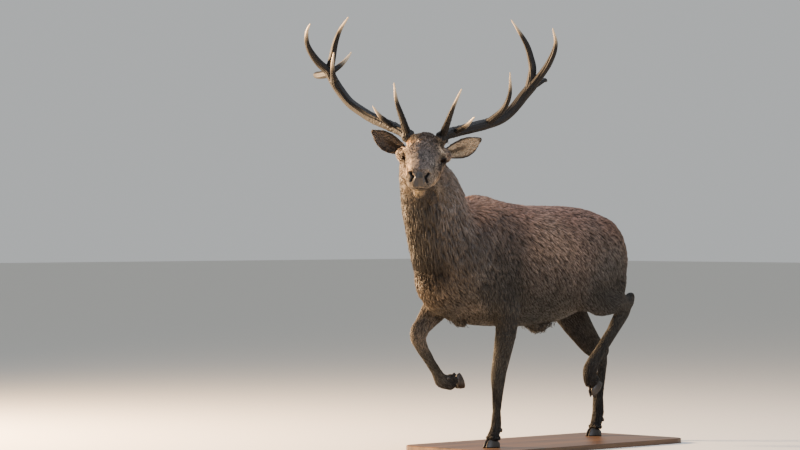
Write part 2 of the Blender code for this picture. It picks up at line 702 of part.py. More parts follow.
def place_body():
    """Parts the flesh into its nodes and places them with ears, eyes, claws and tail."""
    whole = flesh()
    for side, where in SIDES:
        cut_ear = boolean(ear(side), grown(whole.copy()), "DIFFERENCE")
        place(largest_body(cut_ear), f"ear_{where}", "coat")
        place(eye(side), f"eye_{where}", "eye")
    fitted = [tail()] + [beam(antler) for antler in BEAMS] + [eye(side) for side, _ in SIDES]
    fitted += [dewclaw(leg, side) for leg in LEGS for side, _ in SIDES]
    sockets = joined([grown(piece) for piece in fitted])
    body = boolean(whole, sockets, "DIFFERENCE")
    body, head = parted(body, *HEAD_BLOCK, head_matrix())
    body, neck = parted(body, *NECK_BLOCK)
    place(largest_body(head), "head", "coat")
    place(neck, "neck", "mane")
    for leg, space in LEG_BLOCKS.items():
        body, limb = parted(body, *space)
        place_leg(limb, leg)
    place(body, "trunk", "coat")
    place(tail(), "tail", "coat")


for leftover in list(bpy.data.objects):
    bpy.data.objects.remove(leftover)
place_body()
place_antlers()
place(stand_base(), "stand_base", "base")
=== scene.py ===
# %% [markdown]
# # A red deer stag in its winter coat
#
# This file dresses a life-size still model of a stag. The solids of the frame already have its
# pose and its true outline, out to the tips of the hair. Here they get a skin, a head with
# lids, nostrils and lips, some two hundred thousand tufts of hair, antlers of grown bone,
# claws of horn and glassy eyes. Each step says what the real thing is and why it is made in that way.

# %% Load the frame
import math

import bmesh
import bpy
import numpy as np
from mathutils import Matrix, Vector, noise
from mathutils.bvhtree import BVHTree
from mathutils.kdtree import KDTree


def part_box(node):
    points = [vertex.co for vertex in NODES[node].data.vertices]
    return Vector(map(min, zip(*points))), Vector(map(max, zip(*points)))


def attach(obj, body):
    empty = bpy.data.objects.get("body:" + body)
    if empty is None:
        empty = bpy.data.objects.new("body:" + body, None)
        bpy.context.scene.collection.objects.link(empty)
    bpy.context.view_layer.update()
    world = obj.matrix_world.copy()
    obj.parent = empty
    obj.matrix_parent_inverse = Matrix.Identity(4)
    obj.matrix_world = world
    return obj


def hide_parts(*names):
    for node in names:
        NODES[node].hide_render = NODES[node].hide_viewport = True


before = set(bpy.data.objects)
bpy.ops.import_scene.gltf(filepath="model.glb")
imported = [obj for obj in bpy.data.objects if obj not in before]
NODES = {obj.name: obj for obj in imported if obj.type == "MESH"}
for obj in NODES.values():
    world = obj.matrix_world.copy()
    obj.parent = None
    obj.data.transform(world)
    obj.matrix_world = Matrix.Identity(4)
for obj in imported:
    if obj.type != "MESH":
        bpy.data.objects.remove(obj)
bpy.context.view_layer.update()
random = np.random.default_rng(11)
noise.seed_set(11)
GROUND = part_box("stand_base")[1].z + 0.0003
print("frame:", len(NODES), "nodes, ground at", round(GROUND, 4))

# %% [markdown]
# ## Camera, light and floor
#
# The stag is seen from some way off and from the height of its own chest, so the camera stands
# 15 m away with a long lens and looks level at the near shoulder. The light is low and warm from
# the left, as in the evening, with a large soft fill, so the coat's dark masses keep some detail.

# %% Camera
VIEW_TURN = math.radians(45)
CAMERA_AWAY, CAMERA_HEIGHT, AIM_ACROSS = 15.0, 1.026, -0.537
FRAME_WIDTH_AT_STAG, SENSOR = 3.756, 36.0
across = Vector((math.cos(VIEW_TURN), math.sin(VIEW_TURN), 0))
towards = Vector((math.sin(VIEW_TURN), -math.cos(VIEW_TURN), 0))

camera = bpy.data.objects.new("camera", bpy.data.cameras.new("camera"))
bpy.context.collection.objects.link(camera)
camera.data.sensor_width = SENSOR
camera.data.lens = SENSOR * CAMERA_AWAY / FRAME_WIDTH_AT_STAG
camera.data.clip_end = 200
camera.location = across * AIM_ACROSS + towards * CAMERA_AWAY + Vector((0, 0, GROUND + CAMERA_HEIGHT))
camera.rotation_euler = (math.radians(90), 0, VIEW_TURN)
bpy.context.scene.camera = camera
print("camera: lens", round(camera.data.lens, 1), "mm")


# %% Small helpers for colours and shader nodes
def linear(code):
    """An sRGB hex colour as the linear red, green, blue and alpha that shaders use."""
    channels = [int(code[i:i + 2], 16) / 255 for i in (0, 2, 4)]
    return [c / 12.92 if c <= 0.04045 else ((c + 0.055) / 1.055) ** 2.4 for c in channels] + [1.0]


def new_material(name):
    """A node material with its Principled shader."""
    made = bpy.data.materials.new(name)
    made.use_nodes = True
    return made, made.node_tree, made.node_tree.nodes["Principled BSDF"]


def plug(tree, node, inputs):
    """Sets a shader node's sockets to values, or links them to other nodes' outputs."""
    for key, value in inputs.items():
        if isinstance(value, bpy.types.NodeSocket):
            tree.links.new(value, node.inputs[key])
        else:
            node.inputs[key].default_value = value


def add(tree, kind, inputs=None, **settings):
    """Adds a shader node with its settings and its plugged sockets."""
    made = tree.nodes.new("ShaderNode" + kind)
    for name, value in settings.items():
        setattr(made, name, value)
    plug(tree, made, inputs or {})
    return made


def mix_colours(tree, share, first, second):
    """The socket of a colour that runs from first to second as share goes from 0 to 1."""
    return add(tree, "Mix", {0: share, 6: first, 7: second}, data_type="RGBA").outputs[2]


print("mid grey in linear light:", round(linear("808080")[0], 3))


# %% Floor and lights
def area_light(name, place, aim, size, power, colour):
    """A soft rectangular light at a place, turned to face a point."""
    data = bpy.data.lights.new(name, "AREA")
    data.shape = "RECTANGLE"
    data.size, data.size_y = size
    data.energy = power
    data.color = linear(colour)[:3]
    lamp = bpy.data.objects.new(name, data)
    bpy.context.collection.objects.link(lamp)
    lamp.location = place
    lamp.rotation_euler = (Vector(aim) - Vector(place)).to_track_quat("-Z", "Y").to_euler()


bpy.ops.object.select_all(action="DESELECT")
bpy.ops.mesh.primitive_plane_add(size=120)
floor = bpy.context.object
floor.name = "floor"
paper, tree, shader = new_material("matt paper floor")
plug(tree, shader, {"Base Color": linear("D6D4CF"), "Roughness": 0.9})
floor.data.materials.append(paper)

world = bpy.data.worlds.new("soft daylight")
world.use_nodes = True
plug(world.node_tree, world.node_tree.nodes["Background"], {"Color": linear("D9DCDD"), "Strength": 0.72})
bpy.context.scene.world = world

middle = Vector((0, 0, 1.0))
key_place = -across * 5.2 - towards * 0.85 + Vector((0, 0, 1.9))
area_light("low warm key", key_place, middle, (0.9, 0.9), 2750, "FFD3A0")
area_light("soft top", middle + Vector((0.6, 0.4, 4.4)), middle, (5, 5), 230, "EAF0FF")
area_light("front fill", across * 3.5 + towards * 6 + Vector((0, 0, 2.4)), middle, (3, 3), 215, "EAF0FF")
print("lights:", len(bpy.data.lights))

# %% [markdown]
# ## Shared measures
#
# Head and feet have frames of their own, because a muzzle or a claw is far easier to describe
# along its own axes. A head point is given as left, back and up from the middle of the eye line.
# The legs' middle lines say where the hair runs.

# %% Frames of the head and the feet
HEAD_PLACE = Vector((0.105, -0.715, 1.322 + GROUND))
HEAD_YAW, HEAD_PITCH, HEAD_ROLL = 41.0, 9.0, 4.5
EYE_AT, EYE_RADIUS = Vector((0.084, -0.001, 0.002)), 0.0185
head_turn = (
    Matrix.Rotation(math.radians(HEAD_YAW), 4, "Z")
    @ Matrix.Rotation(math.radians(HEAD_PITCH), 4, "X")
    @ Matrix.Rotation(math.radians(HEAD_ROLL), 4, "Y")
)
HEAD = Matrix.Translation(HEAD_PLACE) @ head_turn
head_axes = np.array(head_turn.to_3x3())
BOTH_SIDES = ((1, "left"), (-1, "right"))

# where each coronet's middle is above the ground, and how many degrees the foot is bent back
FEET = {
    "fore_left": (Vector((0.110, -0.268, 0.040)), 0.0),
    "fore_right": (Vector((-0.088, -0.316, 0.292)), 121.0),
    "hind_right": (Vector((-0.110, 0.688, 0.040)), 0.0),
    "hind_left": (Vector((0.082, 0.457, 0.268)), 51.0),
}
FOOT_REACH = 0.07
# each leg's middle line, from above the elbow or the stifle down to the hoof
LEG_LINES = {
    "fore_left": [(0.130, -0.27, 0.80), (0.132, -0.203, 0.65), (0.128, -0.19, 0.56), (0.118, -0.23, 0.36),
                  (0.114, -0.236, 0.25), (0.110, -0.241, 0.12), (0.110, -0.268, 0.03)],
    "fore_right": [(-0.130, -0.37, 0.80), (-0.130, -0.36, 0.685), (-0.118, -0.475, 0.573),
                   (-0.111, -0.527, 0.515), (-0.102, -0.465, 0.40), (-0.091, -0.40, 0.311),
                   (-0.088, -0.31, 0.292)],
    "hind_right": [(-0.130, 0.47, 0.80), (-0.130, 0.52, 0.63), (-0.117, 0.64, 0.475), (-0.110, 0.722, 0.40),
                   (-0.110, 0.728, 0.29), (-0.110, 0.717, 0.12), (-0.110, 0.688, 0.03)],
    "hind_left": [(0.135, 0.375, 0.745), (0.136, 0.45, 0.670), (0.124, 0.59, 0.660), (0.118, 0.645, 0.620),
                  (0.107, 0.551, 0.493), (0.088, 0.441, 0.35), (0.082, 0.458, 0.265)],
}


def in_head(points):
    """World points in the head's frame."""
    return (np.asarray(points) - np.array(HEAD_PLACE)) @ head_axes


def out_of_head(points):
    """Points of the head's frame in the world."""
    return np.asarray(points) @ head_axes.T + np.array(HEAD_PLACE)


def eye_distance(points):
    """How far each world point is from the middle of the nearer eyeball."""
    local = in_head(points)
    return np.linalg.norm(np.c_[np.abs(local[:, 0]), local[:, 1:]] - np.array(EYE_AT), axis=1)


def above_foot(points, leg):
    """How far each point lies above the middle of one foot's coronet, along that foot."""
    place, turn = FEET[leg]
    turn = math.radians(turn)
    offset = points - np.array(place + Vector((0, 0, GROUND)))
    return offset @ np.array([0, -math.sin(turn), math.cos(turn)])


def foot_height(points):
    """How far each point is above its nearest foot's coronet, or 1 away from the feet."""
    height = np.ones(len(points))
    for leg, (place, _) in FEET.items():
        near = np.linalg.norm(points - np.array(place + Vector((0, 0, GROUND))), axis=1) < FOOT_REACH
        height = np.where(near, above_foot(points, leg), height)
    return height


def smooth_step(values, start, end):
    """0 before start, 1 after end and a soft slope between."""
    t = np.clip((np.asarray(values, float) - start) / (end - start), 0, 1)
    return t * t * (3 - 2 * t)


def unit(vectors):
    """The vectors at length 1."""
    return vectors / np.maximum(np.linalg.norm(vectors, axis=-1, keepdims=True), 1e-9)


print("legs:", ", ".join(FEET))


# %% Helpers that read and write meshes as arrays
def read(rows, field, width, kind=float):
    """One field of a mesh's rows as an array of that width."""
    flat = np.empty(len(rows) * width, kind)
    rows.foreach_get(field, flat)
    return flat.reshape(-1, width)


def points_of(piece):
    """A mesh's points as an array."""
    return read(piece.data.vertices, "co", 3)


def move_points(piece, points):
    """Puts the mesh's points at new places."""
    piece.data.vertices.foreach_set("co", np.asarray(points, np.float32).ravel())
    piece.data.update()


def normals_of(piece):
    """The outward direction at each point."""
    return read(piece.data.vertex_normals, "vector", 3)


def edges_of(piece):
    """Each edge's two points."""
    return read(piece.data.edges, "vertices", 2, int)


def set_attribute(piece, name, values, kind="FLOAT"):
    """Stores one number or one colour for each point of the mesh."""
    made = piece.data.attributes.new(name, kind, "POINT")
    field = {"FLOAT": "value", "FLOAT_COLOR": "color", "FLOAT_VECTOR": "vector"}[kind]
    made.data.foreach_set(field, np.asarray(values, np.float32).ravel())


def relax(points, edges, rounds, weight=1.0, keep_size=0.52):
    """Smooths points along their edges, and swells them back a little less each round."""
    weight = np.broadcast_to(np.asarray(weight, float).reshape(-1, 1), (len(points), 1))
    count = np.bincount(edges.ravel(), minlength=len(points)).reshape(-1, 1)
    for turn in range(2 * rounds):
        total = np.zeros_like(points)
        for axis in range(3):
            total[:, axis] = np.bincount(edges[:, 0], points[edges[:, 1], axis], len(points))
            total[:, axis] += np.bincount(edges[:, 1], points[edges[:, 0], axis], len(points))
        pull = 0.5 if turn % 2 == 0 else -keep_size
        points = points + pull * weight * (total / np.maximum(count, 1) - points)
    return points


def only_select(*pieces):
    """Selects the given objects alone, the last one active."""
    bpy.ops.object.select_all(action="DESELECT")
    for piece in pieces:
        piece.select_set(True)
    bpy.context.view_layer.objects.active = pieces[-1]


def copy_of(names, grow=0.0):
    """One new object with copies of CAD nodes, their points merged and moved out by grow."""
    whole = bmesh.new()
    for name in names:
        part = bmesh.new()
        part.from_mesh(NODES[name].data)
        bmesh.ops.remove_doubles(part, verts=part.verts, dist=0.00001)
        part.normal_update()
        for vert in part.verts:
            vert.co += vert.normal * grow
        carrier = bpy.data.meshes.new("carrier")
        part.to_mesh(carrier)
        part.free()
        whole.from_mesh(carrier)
        bpy.data.meshes.remove(carrier)
    mesh = bpy.data.meshes.new("copy")
    whole.to_mesh(mesh)
    whole.free()
    made = bpy.data.objects.new("copy", mesh)
    bpy.context.collection.objects.link(made)
    return made


def remesh(piece, voxel):
    """Turns closed shells that overlap into one even skin of quads."""
    only_select(piece)
    step = piece.modifiers.new("one skin", "REMESH")
    step.mode = "VOXEL"
    step.voxel_size = voxel
    bpy.ops.object.modifier_apply(modifier=step.name)
    return piece


# %% [markdown]
# ## The skin
#
# Under the hair lies one hide without seams. The frame's flesh solids are copied, grown by half
# a millimetre so that they overlap, and remeshed into one skin, with a ball at each antler's
# root, where a stag's skull has a bony pedicle. Legs, head, face and lids are then divided more
# and more finely, because that is where the eye looks for shape.

# %% One skin from the flesh solids
FLESH = ["head", "neck", "trunk", "tail"]
FLESH += [f"leg_{leg}_{part}" for leg in FEET for part in ("upper", "lower")]
SKIN_VOXEL, OVERLAP = 0.013, 0.0006
PEDICLE_AT, PEDICLE_RADIUS = Vector((0.066, 0.056, 0.080)), 0.031
filled = FLESH + ["eye_left", "eye_right"]
target = copy_of(filled, OVERLAP)
target_tree = BVHTree.FromObject(target, bpy.context.evaluated_depsgraph_get())
skin = copy_of(filled, OVERLAP)
skin.name = "skin"
for side, _ in BOTH_SIDES:
    bpy.ops.object.select_all(action="DESELECT")
    place = HEAD @ Vector((side * PEDICLE_AT.x, PEDICLE_AT.y, PEDICLE_AT.z))
    bpy.ops.mesh.primitive_uv_sphere_add(segments=24, ring_count=16, radius=PEDICLE_RADIUS, location=place)
    pedicle = bpy.context.object
    only_select(pedicle, skin)
    bpy.ops.object.join()
remesh(skin, SKIN_VOXEL)
print("skin:", len(skin.data.polygons), "faces")


# %% Divide it where the shape is fine
def divide_where(piece, wanted):
    """Cuts each edge of the faces that wanted picks into two, keeping quads as quads."""
    shape = bmesh.new()
    shape.from_mesh(piece.data)
    centres = np.array([face.calc_center_median() for face in shape.faces])
    picked = wanted(centres)
    faces = [face for face, take in zip(shape.faces, picked) if take]
    edges = list({edge for face in faces for edge in face.edges})
    bmesh.ops.subdivide_edges(shape, edges=edges, cuts=1, use_grid_fill=True, smooth=0.6)
    shape.to_mesh(piece.data)
    shape.free()


def leg_or_head(places):
    """Faces below the belly or on the head."""
    local = in_head(places)
    head = (local[:, 1] < 0.16) & (np.abs(local[:, 0]) < 0.14) & (local[:, 2] > -0.20) & (places[:, 2] > 1.1)
    low = places[:, 2] < GROUND + 0.54
    bent = (places[:, 2] < GROUND + 0.72) & ((places[:, 1] > 0.50) | (places[:, 1] < -0.44))
    return head | low | bent


def face(places):
    """Faces of the head in front of the ears."""
    local = in_head(places)
    return (local[:, 1] < 0.075) & (np.abs(local[:, 0]) < 0.13) & (local[:, 2] > -0.17) & (local[:, 2] < 0.12)


def openings(places):
    """Faces around eyes, nostrils and mouth."""
    local = in_head(places)
    eye = eye_distance(places) < 0.034
    muzzle = (local[:, 1] < -0.165) & (local[:, 2] > -0.125) & (local[:, 2] < 0.0)
    return eye | muzzle


def settle(piece, rounds, weight_of):
    """Lays the weighted part of the skin on the solids and smooths it."""
    points = points_of(piece)
    weight = weight_of(points)
    laid = np.array([target_tree.find_nearest(Vector(p))[0] if w > 0 else p for p, w in zip(points, weight)])
    laid = points + (laid - points) * weight[:, None]
    move_points(piece, relax(laid, edges_of(piece), rounds, weight))


def eyes(places):
    """Faces of the lids."""
    return eye_distance(places) < 0.027


settle(skin, 10, lambda places: np.where(leg_or_head(places), 0.25, 1.0))
divide_where(skin, leg_or_head)
settle(skin, 5, lambda places: np.where(leg_or_head(places), 1.0, 0.0))
for region in (face, openings, eyes):
    divide_where(skin, region)
    points = points_of(skin)
    move_points(skin, relax(points, edges_of(skin), 3, np.where(region(points), 0.8, 0.0)))
print("skin after dividing:", len(skin.data.polygons), "faces")

# %% [markdown]
# ## Sculpting the face
#
# A deer's face is bone with thin skin on it: a long straight nose, a ridge over and under the
# eye, a slit of a scent gland before it, comma-shaped nostrils and a mouth line that runs far
# back. Each of these is a stroke: a short line laid on the skin that pushes it in or out, as a
# sculptor's thumb does. Strokes are given for the left side and mirrored. A nostril is so deep
# that its whole line is pushed one way, and the skin round it is smoothed afterwards.

# %% Strokes
# the points of a line in the head's frame, its radius and how far it pushes outwards, all in mm
FACE_STROKES = [
    ((8, -247, -4), (34, -241, -7), 7.0, 4.5),
    ((34, -241, -7), (51, -234, -28), 6.5, 5.5),
    ((51, -234, -28), (54, -231, -50), 6.5, 6.0),
    ((54, -231, -50), (57, -225, -76), 7.0, 3.0),
    ((35, -249, -21), (15, -259, -44), 3.6, 3.5),
    ((15, -259, -44), (21, -259, -72), 4.0, 2.5),
    ((0, -256, -12), (0, -263, -34), 8.0, -3.5),
    ((0, -262, -56), (0, -262, -92), 3.2, -2.4),
    ((0, -264, -74), (0, -262, -84), 15.0, -3.0),
    ((6, -251, -96), (36, -239, -99), 4.0, -6.0),
    ((46, -227, -100), (56, -200, -102), 4.0, -6.0),
    ((56, -200, -102), (55, -155, -92), 3.2, -4.0),
    ((14, -256, -88), (46, -228, -88), 8.0, 3.0),
    ((0, -240, -112), (38, -222, -113), 8.0, 3.0),
    ((22, -60, 46), (22, -190, 12), 12.0, 2.5),
    ((50, -214, -16), (58, -196, -60), 9.0, -4.0),
    ((58, -95, -36), (54, -185, -40), 22.0, -6.0),
    ((76, -42, -30), (90, 50, -32), 14.0, 4.5),
    ((70, -26, 27), (88, 26, 28), 9.0, 4.0),
    ((84, 50, 8), (84, 60, 12), 16.0, -4.0),
    ((70, -34, 4), (60, -70, -4), 15.0, -4.5),
    ((73, -27, -10), (62, -60, -30), 4.5, -6.0),
    ((72, 30, -124), (44, -120, -118), 16.0, 3.0),
    ((0, 52, 104), (0, -50, 52), 11.0, -2.0),
    ((36, 40, 106), (60, 30, 98), 15.0, 5.0),
    ((0, -12, 60), (52, -4, 49), 4.5, 3.5),
    ((0, -24, 54), (48, -14, 42), 4.0, -3.0),
    ((12, -40, 46), (46, -34, 34), 4.0, 2.5),
    ((18, -60, 38), (44, -58, 24), 4.0, -2.5),
    ((62, -60, -62), (58, -110, -66), 20.0, -3.0),
]
# the hollow of the nostril, from its upper corner to its foot
NOSTRIL_STROKES = [((41, -243, -28), (29, -253, -44), (34, -250, -61), 5.6, -13.0)]
STROKE_STEPS = 9


def stroke(points, tree, rows, radius, push):
    """How far a stroke moves each point, and how strongly it is felt there, from 0 to 1.

    A line of two points follows the skin's own direction, a longer one pushes one way."""
    share, knots = np.linspace(0, 1, STROKE_STEPS), np.linspace(0, 1, len(rows))
    line = out_of_head(np.column_stack([np.interp(share, knots, rows[:, axis]) for axis in range(3)]))
    felt, way, straight = np.zeros(len(points)), np.zeros_like(points), np.zeros(3)
    for place in line:
        laid, out, _, _ = tree.find_nearest(Vector(place))
        here = np.exp(-(np.linalg.norm(points - np.array(laid), axis=1) / radius) ** 2)
        felt = np.maximum(felt, here)
        way += here[:, None] * np.array(out)
        straight += np.array(out)
    way = np.tile(unit(straight), (len(points), 1)) if len(rows) > 2 else unit(way)
    return way * (push * felt)[:, None], felt


def press(strokes):
    """Lays each stroke on both sides of the head, and returns how strongly they are felt."""
    most = np.zeros(len(skin.data.vertices))
    for *rows, radius, push in strokes:
        for side, _ in BOTH_SIDES:
            rows = np.array(rows, float)
            if side < 0 and not rows[:, 0].any():
                continue
            tree = BVHTree.FromObject(skin, bpy.context.evaluated_depsgraph_get())
            mirrored = rows * np.array([side, 1, 1]) / 1000
            moved, felt = stroke(points_of(skin), tree, mirrored, radius / 1000, push / 1000)
            move_points(skin, points_of(skin) + moved)
            most = np.maximum(most, felt)
    return most


press(FACE_STROKES)
pit = press(NOSTRIL_STROKES)
move_points(skin, relax(points_of(skin), edges_of(skin), 2, np.where(pit > 0.05, 0.7, 0.0)))
print("strokes:", len(FACE_STROKES) + len(NOSTRIL_STROKES))

# %% [markdown]
# ## Lids
#
# An eyeball sits in its socket and the lids lie on it like the edges of a purse. So the skin
# near each eye is measured from the eyeball's middle: within the almond between the lids it
# dips inside the ball, and around that it lies just outside, with a thick dark rim and one fold.

# %% Shape the lids on the eyeballs
GAZE = Vector((0.58, -0.81, 0.02)).normalized()
SLIT = Vector((0.80, 0.57, 0.20))
SLIT_HALF, SLIT_UP, SLIT_DOWN = 1.10, 0.50, 0.38
LID_THICK, LID_RISE = 0.0014, 0.0022
FOLD_DEEP, FOLD_AT, FOLD_WIDE = 0.0020, 0.50, 0.08
TUCKED_IN, LID_REACH = 0.003, 0.045
slit = (SLIT - GAZE * SLIT.dot(GAZE)).normalized()
lid_up = slit.cross(GAZE) if slit.cross(GAZE).z > 0 else GAZE.cross(slit)


def around_eye(local, side):
    """Where head points are from the eyeball's middle, as an offset and a distance, and how far
    outside the slit they lie as an angle, negative between the lids."""
    offset = (local * np.array([side, 1, 1])) - np.array(EYE_AT)
    reach = np.linalg.norm(offset, axis=1)
    ahead, along, up = offset @ np.array(GAZE), offset @ np.array(slit), offset @ np.array(lid_up)
    wide, high = np.arctan2(along, ahead), np.arctan2(up, ahead)
    limit = np.where(high > 0, SLIT_UP, SLIT_DOWN) * (1 - (wide / SLIT_HALF) ** 2)
    beyond = np.abs(high) + np.abs(wide) - SLIT_HALF
    outside = np.where(np.abs(wide) < SLIT_HALF, np.abs(high) - limit, beyond)
    outside = np.where(ahead > 0, outside, 2.0)
    return offset, reach, outside


points = points_of(skin)
local = in_head(points)
lid_rim, eye_ring = np.zeros(len(points)), np.zeros(len(points))
for side, _ in BOTH_SIDES:
    offset, reach, outside = around_eye(local, side)
    near_eye = reach < LID_REACH
    lid = EYE_RADIUS + LID_THICK + LID_RISE * smooth_step(outside, 0.05, 0.60)
    lid -= FOLD_DEEP * np.exp(-((outside - FOLD_AT) / FOLD_WIDE) ** 2)
    wanted = np.where(outside < 0, EYE_RADIUS - TUCKED_IN, lid)
    hold = (1 - smooth_step(outside, 0.40, 0.90)) * near_eye
    new_reach = reach + (wanted - reach) * hold
    moved = offset / np.maximum(reach, 1e-6)[:, None] * new_reach[:, None]
    local = np.where((hold > 0)[:, None], (moved + np.array(EYE_AT)) * np.array([side, 1, 1]), local)
    lid_rim = np.maximum(lid_rim, (1 - smooth_step(outside, 0.10, 0.22)) * near_eye)
    eye_ring = np.maximum(eye_ring, (1 - smooth_step(outside, 0.45, 0.90)) * near_eye)
move_points(skin, out_of_head(local))
print("lids: points between them", int((lid_rim > 0.99).sum()))

# %% [markdown]
# ## Ears
#
# A stag's ear is a leaf of cartilage rolled into a funnel at its root, with low ridges inside.
# It is too thin for the skin's coarse remesh, so it is a lofted leaf of its own, cupped towards
# its opening, which is then joined to the skin.

# %% Two cupped leaves
EAR_BASE, EAR_TIP = np.array([0.098, 0.086, 0.022]), np.array([0.250, 0.112, 0.098])
EAR_BACK = np.array([-0.10, 0.97, 0.00])
EAR_SHARES = [0.0, 0.14, 0.32, 0.52, 0.72, 0.88, 1.0]
EAR_HALF = [0.021, 0.0315, 0.0415, 0.0455, 0.0385, 0.0205, 0.005]
EAR_DEPTH = [0.032, 0.030, 0.022, 0.015, 0.011, 0.008, 0.006]
EAR_SAG = np.array([0.0, 0.013, -0.010])
EAR_ROWS, EAR_COLUMNS, EAR_THICK = 26, 16, 0.0035
EAR_RIDGE, EAR_RIDGES, EAR_LEAST = 0.0015, 9, 0.0012


def ear_axes(side):
    """Along the ear, out of its back and across it, in the head's frame."""
    mirror = np.array([side, 1, 1])
    along = unit((EAR_TIP - EAR_BASE) * mirror)
    back = EAR_BACK * mirror
    back = unit(back - along * back.dot(along))
    return along, back, np.cross(along, back)


def ear_leaf(side):
    """A closed leaf: outer rows of points, then the inner ones, from root to tip."""
    mirror = np.array([side, 1, 1])
    along, back, over = ear_axes(side)
    shape = bmesh.new()
    rings, facts = [], []
    for t in np.linspace(0, 1, EAR_ROWS):
        half, depth = np.interp(t, EAR_SHARES, EAR_HALF), np.interp(t, EAR_SHARES, EAR_DEPTH)
        middle_line = (EAR_BASE + (EAR_TIP - EAR_BASE) * t + EAR_SAG * math.sin(math.pi * t)) * mirror
        outer, inner = [], []
        for u in np.linspace(-1, 1, EAR_COLUMNS):
            bulge = depth * (1 - u * u)
            thick = EAR_THICK * (1 - u * u) ** 0.5
            ridge = EAR_RIDGE * math.cos(u * EAR_RIDGES) * (1 - t)
            hollow = bulge - thick - EAR_LEAST - ridge * (1 - u * u)
            outer.append(middle_line + over * half * u + back * bulge)
            inner.append(middle_line + over * half * u * 0.97 + back * hollow)
        rings.append([shape.verts.new(out_of_head(p)) for p in outer + inner[::-1]])
        facts += [(1, t, u) for u in np.linspace(-1, 1, EAR_COLUMNS)]
        facts += [(2, t, u) for u in np.linspace(1, -1, EAR_COLUMNS)]
    count = len(rings[0])
    for low, high in zip(rings, rings[1:]):
        for i in range(count):
            shape.faces.new((low[i], low[(i + 1) % count], high[(i + 1) % count], high[i]))
    shape.faces.new(rings[0])
    shape.faces.new(rings[-1])
    bmesh.ops.recalc_face_normals(shape, faces=shape.faces)
    mesh = bpy.data.meshes.new("ear")
    shape.to_mesh(mesh)
    shape.free()
    made = bpy.data.objects.new("ear", mesh)
    bpy.context.collection.objects.link(made)
    return made, np.array(facts)


skin_only = len(skin.data.vertices)
# for each point of the skin: 1 outside or 2 inside of an ear, the share of its length, and across
ear_facts = [np.zeros((skin_only, 3))]
for side, _ in BOTH_SIDES:
    leaf, facts = ear_leaf(side)
    ear_facts.append(facts)
    only_select(leaf, skin)
    bpy.ops.object.join()
ear_facts = np.vstack(ear_facts)
is_ear = ear_facts[:, 0] > 0
lid_rim, eye_ring, pit = (np.r_[values, np.zeros(is_ear.sum())] for values in (lid_rim, eye_ring, pit))
print("skin with ears:", len(skin.data.vertices), "points")

# %% [markdown]
# ## The lie of the coat
#
# Hair doesn't grow at random. It flows back from the nose, down the neck, back along the spine
# and down each limb, and it is longest in the mane and shortest on the face and feet. A few
# dozen signposts say this: each has a place, the way the hair points, its length and width, and
# how deep the coat is there. Everywhere else the nearest signposts are blended.

# %% Signposts on the body
# place, way of the hair, then length, width and depth of the coat in mm, and reach in metres
BODY_LIE = [
    ((0.02, -0.53, 1.33), (0, 0.45, -0.90), 48, 4.8, 14, 0.10),
    ((0.02, -0.40, 1.22), (0, 0.70, -0.70), 55, 5.1, 17, 0.10),
    ((0.10, -0.60, 1.29), (0, 0.10, -1.00), 42, 4.5, 12, 0.09),
    ((0.13, -0.55, 1.14), (0, 0.12, -1.00), 58, 5.1, 20, 0.11),
    ((0.02, -0.74, 1.20), (0, 0.15, -1.00), 72, 5.1, 20, 0.09),
    ((0.02, -0.72, 1.08), (0, 0.10, -1.00), 84, 5.7, 28, 0.10),
    ((0.02, -0.66, 0.93), (0, 0.12, -1.00), 92, 6.0, 32, 0.09),
    ((0.15, -0.50, 0.96), (0, 0.18, -1.00), 58, 5.4, 20, 0.11),
    ((0.02, -0.60, 0.80), (0, 0.40, -0.90), 34, 4.5, 13, 0.08),
    ((0.06, -0.50, 0.68), (0, 0.75, -0.60), 26, 4.4, 8, 0.09),
    ((0.00, -0.38, 0.59), (0, 0.30, -0.95), 34, 4.5, 9, 0.05),
    ((0.18, -0.38, 1.00), (0, 0.35, -0.95), 42, 4.8, 14, 0.11),
    ((0.19, -0.32, 0.82), (0, 0.38, -0.95), 28, 4.4, 7, 0.10),
    ((0.16, -0.26, 0.70), (0, 0.15, -1.00), 24, 3.4, 5, 0.09),
    ((0.04, -0.28, 1.17), (0.10, 0.90, -0.30), 40, 4.8, 15, 0.10),
    ((0.05, 0.00, 1.13), (0.15, 0.90, -0.35), 30, 4.2, 11, 0.12),
    ((0.05, 0.28, 1.12), (0.15, 0.90, -0.35), 28, 4.2, 10, 0.12),
    ((0.05, 0.55, 1.08), (0.05, 0.80, -0.60), 27, 4.2, 9, 0.11),
    ((0.08, 0.69, 0.95), (0, 0.25, -0.95), 26, 3.9, 8, 0.09),
    ((0.20, 0.03, 1.00), (0, 0.72, -0.70), 32, 4.3, 12, 0.12),
    ((0.21, 0.05, 0.85), (0, 0.62, -0.78), 30, 4.2, 11, 0.12),
    ((0.18, 0.05, 0.67), (0, 0.68, -0.60), 24, 3.9, 8, 0.11),
    ((0.18, 0.30, 0.75), (0, 0.60, -0.75), 24, 3.9, 8, 0.11),
    ((0.02, 0.00, 0.56), (0, 1.00, 0.05), 18, 3.6, 5, 0.11),
    ((0.17, 0.45, 0.98), (0, 0.65, -0.75), 28, 4.2, 10, 0.12),
    ((0.17, 0.50, 0.80), (0, 0.45, -0.90), 24, 3.9, 8, 0.11),
    ((0.05, 0.36, 0.64), (0, 0.80, -0.30), 18, 3.6, 5, 0.09),
    ((0.00, 0.15, 0.55), (0, -0.10, -1.00), 36, 3.6, 10, 0.06),
    ((0.00, 0.74, 0.92), (0, 0.10, -1.00), 34, 4.5, 8, 0.06),
]
